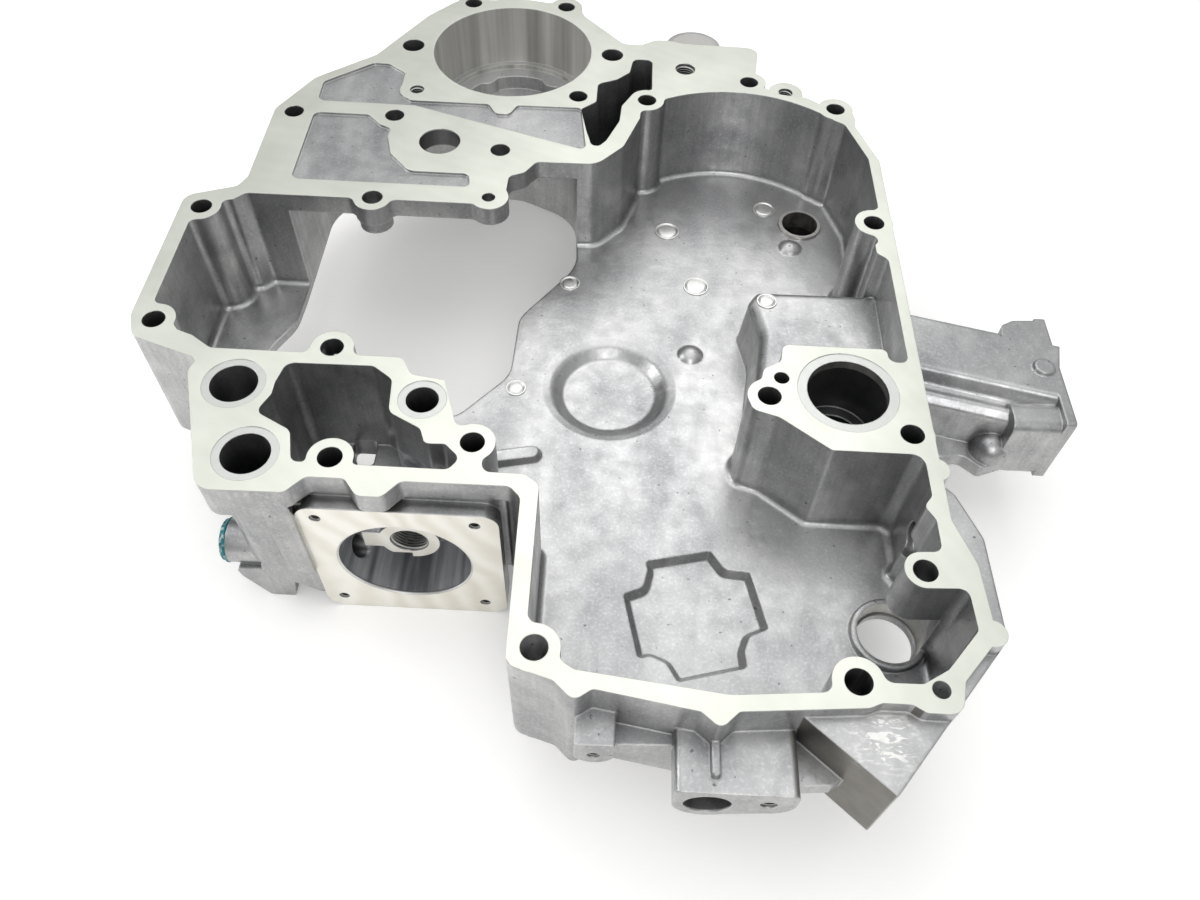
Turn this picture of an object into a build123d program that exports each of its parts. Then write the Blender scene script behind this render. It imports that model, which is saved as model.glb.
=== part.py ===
"""Timing gear case of a small diesel engine, one aluminium pressure die casting.

The origin is the centre of the injection pump bore on the front gasket face.
+X runs along the case to the water duct, +Y to the pump end, +Z out of the gasket face.
The gasket face is z = 0 and the whole casting lies below it.
"""
from build123d import *
import os
from math import atan2, cos, degrees, radians, sin, tan

# Levels, all measured from the gasket face
floor_level = -60.0
left_floor_level = floor_level - 5.0
rear_level = floor_level - 6.0
rail_level = floor_level - 10.0
plate_level = -11.0
table_level = -106.0

# General casting sizes
case_right = 215.8
draft = 1.0
corner_round = 4.0
floor_fillet = 3.5
boss_radius = 10.2
column_radius = 9.0
bolt_radius = 5.5
pump_bolt_radius = 6.7
plate_boss_length = 7.5

# Injection pump bore and its cast bottom
pump_bore_radius = 49.0
pump_bore_depth = 38.0
pump_ledge_radius = pump_bore_radius - 4.0
pump_ledge_depth = 41.0
pump_floor_radius = pump_bore_radius - 11.0
pump_floor_depth = 50.0
pump_ring = 10.5
pump_lobes = [(-24.0, 34.5), (24.0, 34.5)]
pump_lobe_radius = 7.0
pump_cylinder_radius = pump_bore_radius + 6.0

# Pump shaft bore in the upper plate
shaft_bore_at = (-32.7, -95.0)
shaft_bore_radius = 11.6
recess_depth = 1.6
slot_depth = 50.0

# Cover bolts through the case, pump bolts, dowels and tapped holes
cover_bolts = [
    (-149.5, -159.9), (-148.9, -242.0), (-61.8, -146.1), (-120.1, -73.7), (-30.7, 52.6),
    (30.3, 53.3), (43.3, -45.4), (-61.9, -72.9), (2.2, -100.3), (84.4, -45.9),
    (146.6, -22.2), (197.0, -45.8), (207.1, -146.8), (143.3, -270.8), (206.2, -289.1),
    (-61.2, -254.3), (10.8, -305.6), (168.0, -408.1), (45.5, -400.7),
]
pump_bolt_spacing = 124.4
pump_bolts = [(-pump_bolt_spacing / 2, 0.0), (pump_bolt_spacing / 2, 0.0)]
blind_bolts = [(-49.3, -317.3)]
blind_bolt_depth = 34.0
plate_bosses = [(-61.9, -72.9), (2.2, -100.3), (-61.8, -146.1)]
dowels = [(198.8, -409.7), (149.6, -259.6), (0.0, -141.5)]
dowel_radius = 3.6
dowel_depth = 12.0
sensor_hole_at = (107.7, -11.5)
sensor_hole_radius = 6.1
plate_screw_at = (-52.9, -46.4)
plate_screw_radius = 4.2
tapped_boss_at = (170.0, -22.0)
tapped_boss_level = -6.0
tapped_hole_radius = 4.3
tapped_depth = 25.0

# Gear clearance swept in the upper wall
gear_centre = (141.0, -107.5)
gear_clearance = 74.0

# Water duct: bore boss inside the case, box and end flange outside
duct_bore_at = (180.0, -266.0)
duct_bore_radius = 19.0
duct_bore_depth = 34.0
duct_neck_radius = 13.0
duct_ring_radius = duct_bore_radius + 4.6
duct_top = -28.0
duct_bottom = rail_level - 3.0
duct_turn = 13.4
duct_start = (208.0, -218.5)
duct_end = 300.5
duct_run = duct_end - duct_start[0]
duct_length = duct_run / cos(radians(duct_turn))
duct_middle = duct_start[1] - duct_run * tan(radians(duct_turn)) + 20.5
duct_flange = 5.0
duct_flange_width = 73.0
duct_lug_depth = 24.0
duct_lump_back = 8.5
duct_lump_radius = 6.5
duct_block = (18.0, 42.0)
duct_block_at = (duct_middle - 27.5, -52.0)
duct_block_length = 29.0
duct_web_top = -60.0
duct_web_depth = 8.0
bulge_at = (268.5, -250.5, -58.0)
bulge_radius = 10.0
duct_port_width = 36.0
duct_port_height = 27.0
duct_port_offset = 16.0
stub_radius = 20.0

# Oil port block
large_ports = [(-101.0, -278.8), (-85.8, -317.3)]
large_port_radius = 10.9
port_column_radius = 16.0
small_port_at = (-14.6, -282.9)
small_port_radius = 7.5
port_ring = 3.6
ring_depth = 0.4
port_block_depth = 20.0
cavity_depth = 60.0

# Oil filter flange, square to -Y
filter_face = -334.0
filter_top = -16.0
trough_level = -12.0
filter_left = -66.0
filter_width = 90.0
filter_thickness = 13.0
filter_centre = (-22.0, (filter_top + table_level) / 2 + 1.3)
filter_bowl_radius = 31.8
filter_bowl_depth = 30.0
filter_thread_radius = 9.3
filter_thread_depth = 46.0
filter_boss_radius = 14.5
filter_boss_recess = 12.0
filter_bolt_spacing_x = 70.5
filter_bolt_spacing_z = 72.0
filter_bolt_radius = 2.6
filter_bolt_depth = 16.0

# Oil gallery along the port block, closed by a plug
gallery_y = -317.3
gallery_z = -74.6
gallery_end = -112.0
gallery_bore = 9.2
gallery_radius = gallery_bore + 1.8
gallery_passage = 6.0

# Wedge block and bottom bosses
wedge_top = -7.0
wedge_bottom = -51.0
port_boss_face = -446.0
port_boss_at = (114.0, -33.5)
port_boss_radius = 13.5
port_hole_radius = 9.3
port_screw_at = (137.0, -31.0)
port_screw_radius = 3.4
port_screw_boss = 10.5
small_boss_face = -431.0
small_boss_at = (70.0, -29.0)
small_boss_radius = 7.8
small_screw_radius = 2.6
edge_bumps = [(214.0, -307.9), (222.9, -385.4)]
edge_bump_radius = 5.8

# Pressed cap boss beyond the pump plate
cap_at = (114.2, 28.4)
cap_level = -8.0
cap_radius = 14.0
cap_thickness = 4.0
cap_boss_radius = cap_radius + 3.5

# Round pan, polygon pan and steel bush in the floor
pan_at = (70.0, -220.0)
pan_radius = 25.0
pan_depth = 6.5
pan_round = 3.0
frame_pan_depth = 4.5
frame_pan_slope = 35.0
frame_pan_middle = (114.5, -352.5)
frame_pan_pad = (72.0, 68.0)
frame_pan_turn = 13.4
seal_hole_at = (201.3, -359.4)
seal_hole_radius = 14.6
seal_neck_radius = seal_hole_radius - 1.0
seal_ring_radius = seal_hole_radius + 3.0
seal_ring_proud = 4.5
post_hole_at = (200.9, -358.9)
post_hole_radius = 5.2
post_depth = 28.0
wall_pocket_at = (-325.5, -31.0)
wall_pocket_radius = 8.5
wall_pocket_depth = 3.0
bush_at = (184.0, -81.0)
bush_outer = 12.9
bush_inner = bush_outer - 1.9
bush_proud = 1.5
bush_relief = 0.6
bush_boss_radius = bush_outer + 5.1
bush_boss_level = table_level + 12.0

# Domes, floor rib and the window of the oil cavity
domes = [(176.6, -102.4), (114.1, -193.9)]
dome_radius = 7.2
dome_height = 4.0
floor_rib = [(-4.0, -276.0), (32.0, -268.0)]
floor_rib_width = 11.0
floor_rib_height = 4.0
window_at = (-53.0, -272.0)
window_size = (12.0, 14.0)
cavity_column_at = (-41.0, -267.0)
cavity_column_radius = 6.4
cavity_column_top = -30.0


def outline(corners):
    """Closed face of straight runs; each corner is (x, y, radius of its arc)."""
    points = [(x, y) for x, y, _ in corners]
    radii = [radius for _, _, radius in corners]
    with BuildSketch() as face:
        with BuildLine():
            FilletPolyline(*points, radius=radii, close=True)
        make_face()
    return face.sketch


def discs(places, radius):
    """One disc of the given radius at each place."""
    with BuildSketch() as face:
        with Locations(*places):
            Circle(radius)
    return face.sketch


def grown(face, amount):
    """The face with its edge moved outwards by amount."""
    with BuildSketch() as result:
        add(face)
        offset(amount=amount)
    return result.sketch


# Outer edge of the gasket face, clockwise from the pump bore
case_edge = [
    (-45.0, 50.0, 8.0), (-38.0, 57.0, 3.0), (38.0, 57.0, 3.0), (42.5, 43.0, 5.0),
    (69.0, 12.5, 8.0), (80.0, 12.3, 6.0), (89.0, 18.8, 8.0), (99.0, 18.8, 5.0),
    (107.0, 16.4, 5.0), (154.0, 15.0, 7.0), (151.0, -14.0, 2.0), (153.0, -26.0, 3.0),
    (165.0, -33.6, 5.0), (181.0, -36.3, 6.0), (188.0, -41.5, 2.0), (205.0, -38.0, 3.0),
    (207.8, -56.0, 4.0), (206.6, -62.0, 5.0), (216.9, -94.0, 18.0),
    (215.8, -334.0, 8.0), (223.0, -355.0, 8.0), (224.0, -379.0, 3.0),
    (221.5, -391.0, 3.0), (208.5, -406.0, 3.0), (205.5, -419.0, 6.0),
    (192.0, -419.0, 4.0), (187.0, -416.0, 4.0), (176.0, -416.0, 4.0), (171.0, -418.2, 6.0),
    (122.8, -422.0, 3.0), (115.7, -428.8, 3.5), (108.5, -422.7, 3.0), (68.5, -416.0, 3.0),
    (61.5, -421.0, 4.0), (53.5, -413.5, 5.0), (35.0, -408.0, 6.0), (34.2, -333.0, 5.0),
    (29.0, -327.7, 5.0), (-17.0, -328.0, 4.0), (-24.0, -336.5, 5.0), (-34.5, -336.5, 5.0),
    (-41.0, -328.0, 4.0), (-57.5, -328.0, 4.0), (-65.0, -336.5, 5.0), (-102.0, -337.0, 9.0),
    (-124.0, -272.0, 8.0), (-121.0, -265.3, 3.0), (-156.0, -253.0, 8.0), (-160.5, -240.0, 8.0),
    (-160.5, -152.0, 8.0), (-135.0, -142.4, 5.0), (-131.5, -134.0, 4.0), (-131.5, -72.0, 10.0),
    (-115.0, -39.5, 12.0), (-83.0, -12.5, 12.0), (-58.0, 34.0, 14.0),
]

# Inner edge of the gasket face round both gear chambers, from the end of the gear clearance
chamber_edge = [
    (196.0, -57.5, 3.0), (201.0, -60.5, 4.0), (211.0, -92.0, 12.0), (211.0, -159.0, 2.0),
    (205.5, -164.0, 2.5), (205.5, -170.5, 2.5), (211.0, -175.0, 2.5), (210.8, -246.5, 4.0),
    (201.5, -246.5, 4.0), (201.5, -238.5, 3.0), (151.8, -238.5, 4.0), (150.0, -249.5, 4.0),
    (141.5, -254.5, 5.0), (140.0, -262.5, 4.0), (134.0, -269.0, 6.0), (134.5, -279.0, 5.0),
    (147.0, -283.0, 10.0), (169.0, -300.2, 4.0), (209.7, -300.2, 6.0), (209.6, -322.0, 4.0),
    (205.5, -327.5, 3.0), (209.5, -334.0, 3.0), (209.4, -349.7, 3.0), (192.4, -350.6, 8.1),
    (192.4, -367.2, 8.1), (217.0, -366.2, 4.0), (217.6, -384.5, 4.0), (203.0, -401.5, 3.0),
    (192.5, -407.8, 3.0), (172.0, -408.0, 1.0), (160.0, -412.5, 2.0), (120.0, -415.8, 20.0),
    (61.0, -408.8, 5.0), (52.0, -403.0, 1.0), (42.0, -396.0, 1.0), (41.6, -326.0, 5.0),
    (35.0, -321.2, 5.0), (17.0, -321.0, 3.0), (15.5, -312.5, 1.0), (3.0, -301.0, 1.0),
    (0.3, -290.0, 2.0), (-6.0, -271.0, 1.0), (-22.0, -268.5, 1.0), (-27.5, -258.5, 4.0),
    (-117.5, -258.3, 6.0), (-128.0, -251.0, 3.0), (-136.0, -248.0, 2.0), (-146.0, -235.0, 1.0),
    (-152.5, -236.0, 1.0), (-152.5, -163.0, 1.0), (-142.5, -152.5, 1.0), (-135.0, -153.5, 3.0),
    (-129.0, -147.4, 4.0), (-1.0, -147.2, 1.0), (8.8, -140.0, 1.0), (9.2, -123.0, 4.0),
    (17.5, -119.0, 4.0), (23.5, -109.2, 3.0), (57.0, -108.6, 12.0), (71.5, -91.5, 10.0),
    (80.5, -64.0, 8.0), (81.0, -51.0, 1.0), (94.0, -44.5, 1.0),
]
chamber_bosses = [
    (-149.5, -159.9), (-148.9, -242.0), (-61.8, -146.1), (0.5, -141.0), (84.4, -45.9), (146.6, -22.2),
    (197.0, -45.8), (207.1, -146.8), (143.3, -270.8), (-61.2, -254.3), (10.8, -305.6),
    (168.0, -408.1), (45.5, -400.7),
]

# Opening in the floor through which the engine side gears mesh
opening_edge = [
    (-108.0, -70.0, 32.0), (-60.0, -57.5, 20.0), (8.0, -57.5, 30.0), (44.0, -76.0, 30.0),
    (47.5, -128.0, 30.0), (17.0, -172.0, 20.0), (16.0, -215.0, 20.0), (-10.0, -246.0, 16.0),
    (-92.0, -251.0, 20.0), (-122.0, -205.0, 18.0), (-109.5, -180.0, 26.0), (-108.5, -160.0, 5.0),
]

# Foot of the duct boss on the chamber floor
duct_foot_edge = [
    (146.0, -170.0, 6.0), (140.0, -180.0, 8.0), (145.0, -205.0, 20.0), (139.0, -252.0, 6.0),
    (152.0, -262.0, 3.0), (214.0, -262.0, 1.0), (214.0, -169.0, 1.0),
]

# Oil cavity in the port block
cavity_edge = [
    (-80.0, -265.0, 5.0), (-40.0, -264.5, 5.0), (-30.0, -272.0, 5.0), (-28.5, -291.0, 6.0),
    (-13.0, -299.5, 4.0), (-10.0, -307.5, 3.0), (-1.0, -307.2, 3.0), (6.5, -314.5, 4.0),
    (2.0, -320.8, 4.0), (-65.5, -320.5, 4.0), (-69.5, -304.0, 6.0), (-87.0, -294.5, 4.0),
    (-82.5, -284.0, 4.0), (-82.5, -277.0, 4.0),
]

# Deep slot between the pump plate and the gear chamber wall
slot_edge = [
    (75.5, -3.0, 5.0), (87.3, -3.5, 4.0), (87.3, -36.0, 3.0), (76.0, -40.0, 8.0),
    (69.5, -53.0, 6.0), (68.6, -68.0, 8.0), (61.5, -87.0, 5.0), (54.5, -97.0, 3.5),
    (49.8, -79.0, 6.0), (45.5, -58.0, 3.0), (54.3, -50.0, 4.0), (54.5, -31.5, 5.0),
    (66.0, -26.0, 6.0), (73.5, -18.0, 4.0),
]

# Shallow cast recesses in the face of the pump plate
upper_recess_edge = [
    (-83.0, -21.0, 4.0), (-73.5, -21.5, 4.0), (-62.5, -30.0, 3.0), (-62.5, -51.0, 3.0),
    (-55.0, -57.5, 3.0), (-9.0, -57.5, 3.0), (-4.0, -66.5, 4.0), (4.0, -66.5, 4.0),
    (8.0, -57.3, 3.0), (45.5, -56.8, 3.0), (50.5, -97.0, 3.0), (-52.0, -62.5, 3.0),
    (-109.0, -62.0, 5.0), (-109.5, -43.0, 5.0),
]
lower_recess_edge = [
    (-108.5, -73.3, 4.0), (-77.0, -73.3, 3.0), (-69.0, -82.0, 3.0), (-62.0, -85.5, 3.0),
    (-62.5, -93.0, 3.0), (-58.5, -108.0, 6.0), (-46.0, -122.5, 8.0), (-13.0, -122.5, 4.0),
    (-11.0, -133.8, 3.0), (-108.5, -133.8, 5.0),
]

# Wedge block beyond the bottom right corner, and its core from behind
wedge_edge = [
    (146.0, -404.0, 1.0), (147.0, -419.5, 2.0), (179.0, -448.0, 0.6), (231.4, -384.5, 1.5),
    (231.0, -338.0, 12.0), (222.5, -316.0, 6.0), (212.0, -306.0, 1.0), (200.0, -330.0, 1.0),
    (200.0, -398.0, 1.0),
]
wedge_core_edge = [
    (159.0, -424.0, 2.0), (178.8, -440.5, 2.0), (192.0, -424.5, 2.0),
]

# Undercut below the left corner of the port block
undercut_edge = [
    (-135.0, -262.0, 1.0), (-93.5, -262.0, 3.0), (-93.5, -304.0, 3.0), (-78.0, -312.0, 3.0),
    (-78.0, -345.0, 1.0), (-135.0, -345.0, 1.0),
]

# Polygon pan cast into the floor
frame_pan_edge = [
    (90.6, -326.2, 2.0), (122.0, -318.7, 2.0), (128.8, -328.6, 4.0), (140.6, -329.4, 2.0),
    (147.7, -358.6, 2.0), (138.6, -362.8, 4.0), (136.1, -370.1, 4.0), (137.0, -378.1, 2.0),
    (105.9, -386.4, 2.0), (100.6, -377.8, 4.0), (93.4, -374.7, 4.0), (88.0, -376.5, 2.0),
    (80.5, -344.1, 2.0), (89.9, -340.1, 4.0), (92.0, -330.7, 4.0),
]

# Rear cores that leave a skirt, the pump bore cylinder and a column at each bolt
left_core_edge = [
    (-125.5, -136.0, 4.0), (-114.0, -140.5, 3.0), (-114.0, -66.0, 34.0), (-62.0, -51.5, 20.0),
    (-30.0, -50.0, 3.0), (-78.0, -4.0, 3.0), (-80.0, -17.5, 4.0), (-111.0, -43.5, 8.0),
    (-125.5, -74.0, 8.0),
]
right_core_edge = [
    (93.0, 10.5, 5.0), (148.0, 9.0, 5.0), (145.5, -12.0, 3.0), (136.0, -27.5, 4.0),
    (118.0, -30.5, 20.0), (96.0, -41.0, 3.0),
]

# Section of the duct box: across the duct, height
duct_section = [
    (38.0, -73.0, 4.0), (38.0, -28.0, 3.0), (1.0, -28.0, 3.5), (-3.0, -36.5, 3.0),
    (-7.0, -36.5, 2.5), (-9.5, -32.5, 2.5), (-15.0, -38.0, 4.0), (-14.5, -66.0, 4.0),
    (-6.0, -73.0, 4.0),
]
duct_lug_edge = [
    (duct_end - 26.5, duct_middle + 14.0, 1.0), (duct_end - 24.5, duct_middle + 29.0, 4.0),
    (duct_end - 17.5, duct_middle + 33.0, 4.0), (duct_end - 2.5, duct_middle + 34.0, 1.0),
    (duct_end - 2.5, duct_middle + 14.0, 1.0),
]
duct_web_edge = [
    (214.0, -250.0, 1.0), (243.5, -256.0, 6.0), (254.0, -254.0, 6.0), (263.0, -262.0, 3.0),
    (278.0, -256.0, 2.0), (278.0, -236.0, 1.0), (214.0, -228.0, 1.0),
]

# Front view of the filter side: block left of the flange, lug to the table, bottom bosses
port_wall_edge = [
    (-98.0, -17.0, 3.0), (-62.0, -17.0, 1.0), (-62.0, -98.0, 1.0), (-70.0, -98.0, 3.0),
    (-84.0, -88.0, 6.0), (-96.0, -84.0, 4.0), (-92.0, -62.0, 10.0),
]
lug_edge = [
    (-108.5, -81.0, 2.0), (-80.0, -79.0, 1.0), (-84.5, table_level, 2.0), (-97.0, table_level, 4.0),
    (-107.0, -88.0, 3.0),
]

# Outline of the recess between the rear rails
rear_recess_edge = [
    (62.0, -115.0, 12.0), (88.0, -62.0, 10.0), (120.0, -44.0, 20.0), (165.0, -46.0, 20.0),
    (196.0, -66.0, 6.0), (206.0, -98.0, 10.0), (206.0, -132.0, 4.0), (136.0, -164.0, 6.0),
    (134.0, -258.0, 8.0), (124.0, -280.0, 6.0), (166.0, -306.0, 4.0), (178.0, -334.0, 8.0),
    (178.0, -398.0, 4.0), (50.0, -396.0, 6.0), (48.0, -318.0, 6.0), (26.0, -290.0, 10.0),
    (28.0, -180.0, 20.0),
]

with BuildSketch() as case_face:
    add(outline(case_edge))
    add(discs(cover_bolts + blind_bolts, boss_radius))
    add(discs(edge_bumps, edge_bump_radius))
    Circle(pump_bore_radius + pump_ring)

with BuildSketch() as chamber_face:
    with BuildLine():
        chamber_line = FilletPolyline(
            *[(x, y) for x, y, _ in chamber_edge],
            radius=[r for _, _, r in chamber_edge[1:-1]],
        )
        sweep_top = (gear_centre[0], gear_centre[1] + gear_clearance)
        ThreePointArc(chamber_line @ 1, sweep_top, chamber_line @ 0)
    make_face()
    add(discs(chamber_bosses, boss_radius), mode=Mode.SUBTRACT)
    offset(amount=-corner_round)
    offset(amount=corner_round)

with BuildSketch() as left_chamber_face:
    add(chamber_face.sketch)
    with Locations((-120.0, -200.0)):
        Rectangle(110.0, 130.0, mode=Mode.INTERSECT)

with BuildPart() as chamber_space:
    add(chamber_face.sketch)
    extrude(amount=floor_level)
    fillet(chamber_space.edges().group_by(Axis.Z)[0], floor_fillet)

with BuildPart() as left_chamber_space:
    add(left_chamber_face.sketch)
    extrude(amount=left_floor_level)
    fillet(left_chamber_space.edges().group_by(Axis.Z)[0], floor_fillet)

with BuildPart() as seal_ring:
    with BuildSketch(Plane.XY.offset(floor_level - 1.0)):
        add(discs([seal_hole_at], seal_ring_radius))
    extrude(amount=seal_ring_proud)
    fillet(seal_ring.edges().group_by(Axis.Z)[-1], 1.4)

# Domes and the round-backed rib on the chamber floor
rib_start = Vector(*floor_rib[0])
rib_run = Vector(*floor_rib[1]) - rib_start
rib_middle = rib_start + rib_run * 0.5
dome_sphere = (dome_radius**2 + dome_height**2) / (2 * dome_height)
with BuildPart() as floor_marks:
    with Locations(*[(x, y, floor_level + dome_height - dome_sphere) for x, y in domes]):
        Sphere(dome_sphere, arc_size1=0, align=(Align.CENTER, Align.CENTER, Align.MIN))
    with BuildSketch(Plane.XY.offset(floor_level)):
        with Locations((rib_middle.X, rib_middle.Y)):
            SlotCenterToCenter(
                rib_run.length, floor_rib_width, rotation=degrees(atan2(rib_run.Y, rib_run.X))
            )
    extrude(amount=floor_rib_height, taper=30.0)

with BuildPart() as duct_boss:
    with BuildSketch(Plane.XY.offset(floor_level - 1.0)):
        add(outline(duct_foot_edge))
    extrude(amount=duct_top - floor_level + 1.0, taper=5.0)
    fillet(duct_boss.edges().group_by(Axis.Z)[-1].filter_by_position(Axis.X, 130.0, 205.0), 6.0)

# Water duct outside the case: ridged box, end flange and its bolt lumps
duct_plane = Plane(
    origin=(duct_start[0], duct_start[1], 0.0),
    x_dir=(sin(radians(duct_turn)), cos(radians(duct_turn)), 0.0),
    z_dir=(cos(radians(duct_turn)), -sin(radians(duct_turn)), 0.0),
)
duct_height = duct_top - duct_bottom
duct_level = (duct_top + duct_bottom) / 2
with BuildPart() as duct:
    with BuildSketch(duct_plane):
        add(outline(duct_section))
    extrude(amount=duct_length - 5.0)
    with BuildSketch(Plane.YZ.offset(duct_end)):
        with Locations((duct_middle, duct_level)):
            RectangleRounded(duct_flange_width, duct_height, 2.0)
    extrude(amount=-duct_flange)
    # Lug behind the back of the flange, lump at its middle, block at its front
    with BuildSketch(Plane.XY.offset(duct_top)):
        add(outline(duct_lug_edge))
    extrude(amount=-duct_lug_depth)
    with BuildSketch(Plane.XY.offset(duct_top - 1.0)):
        with Locations((duct_end - duct_lump_back, duct_middle)):
            Circle(duct_lump_radius)
    extrude(amount=3.0, taper=30.0)
    with BuildSketch(Plane.YZ.offset(duct_end)):
        with Locations(duct_block_at):
            RectangleRounded(*duct_block, 7.0)
    extrude(amount=-duct_block_length)
    # Low web and the bulge above it
    with BuildSketch(Plane.XY.offset(duct_web_top)):
        add(outline(duct_web_edge))
    extrude(amount=-duct_web_depth)
    with Locations(bulge_at):
        Sphere(bulge_radius)

# Oil filter block: flange plate and the tapering body behind it
filter_right = filter_left + filter_width
filter_level = (filter_top + table_level) / 2
filter_height = filter_top - table_level
with BuildPart() as filter_block:
    with BuildSketch(Plane.XZ.offset(-filter_face)):
        with Locations(((filter_left + filter_right) / 2, filter_level)):
            RectangleRounded(filter_width, filter_height, 8.0)
    extrude(amount=-filter_thickness)
    with BuildSketch(Plane.XZ.offset(-filter_face - filter_thickness)):
        with Locations((filter_centre[0], filter_level + 2.0)):
            RectangleRounded(filter_width - 12.0, filter_height - 12.0, 12.0)
    extrude(amount=-52.0, taper=5.0)
    # Block left of the flange, oil gallery boss and the lug that reaches the table
    with BuildSketch(Plane.XZ.offset(-filter_face - 3.0)):
        add(outline(port_wall_edge))
    extrude(amount=-30.0)
    with BuildSketch(Plane.XZ.offset(-filter_face - 4.0)):
        add(outline(lug_edge))
    extrude(amount=-18.0)
    with BuildSketch(Plane.YZ.offset(gallery_end)):
        with Locations((gallery_y, gallery_z)):
            Circle(gallery_radius)
    extrude(amount=60.0)

with BuildPart() as bottom_bosses:
    # Large boss with the oil return hole and its small neighbour
    with BuildSketch(Plane.XZ.offset(-port_boss_face)):
        with Locations(port_boss_at):
            Circle(port_boss_radius)
        with Locations(port_screw_at):
            Circle(port_screw_boss)
        Polygon((100.5, -33.0), (100.5, -20.0), (147.5, -20.0), (147.5, -31.0), (137.0, -41.5),
                (114.0, -47.0), align=None)
    extrude(amount=-38.0)
    fillet(bottom_bosses.edges().filter_by(Axis.Y).group_by(Axis.Z)[-1], 3.0)
    with BuildSketch(Plane.XZ.offset(-small_boss_face)):
        with Locations(small_boss_at):
            Circle(small_boss_radius)
            with Locations((0.0, 5.5)):
                Rectangle(2 * small_boss_radius, 11.0)
    extrude(amount=-26.0)
    # Webs between the bosses and to the wedge
    with BuildSketch(Plane.XY.offset(-28.0)):
        Polygon((74.0, -427.0), (104.0, -426.0), (104.0, -410.0), (74.0, -410.0), align=None)
        Polygon((143.0, -440.0), (161.0, -438.5), (175.0, -430.0), (160.0, -410.0),
                (143.0, -410.0), align=None)
    extrude(amount=-8.0)
    # Rib down the middle of the large boss
    with BuildSketch(Plane.XY.offset(-30.0)):
        with Locations((115.7, -425.0)):
            SlotOverall(34.0, 6.0, rotation=90.0)
    extrude(amount=14.0, taper=6.0)

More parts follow.
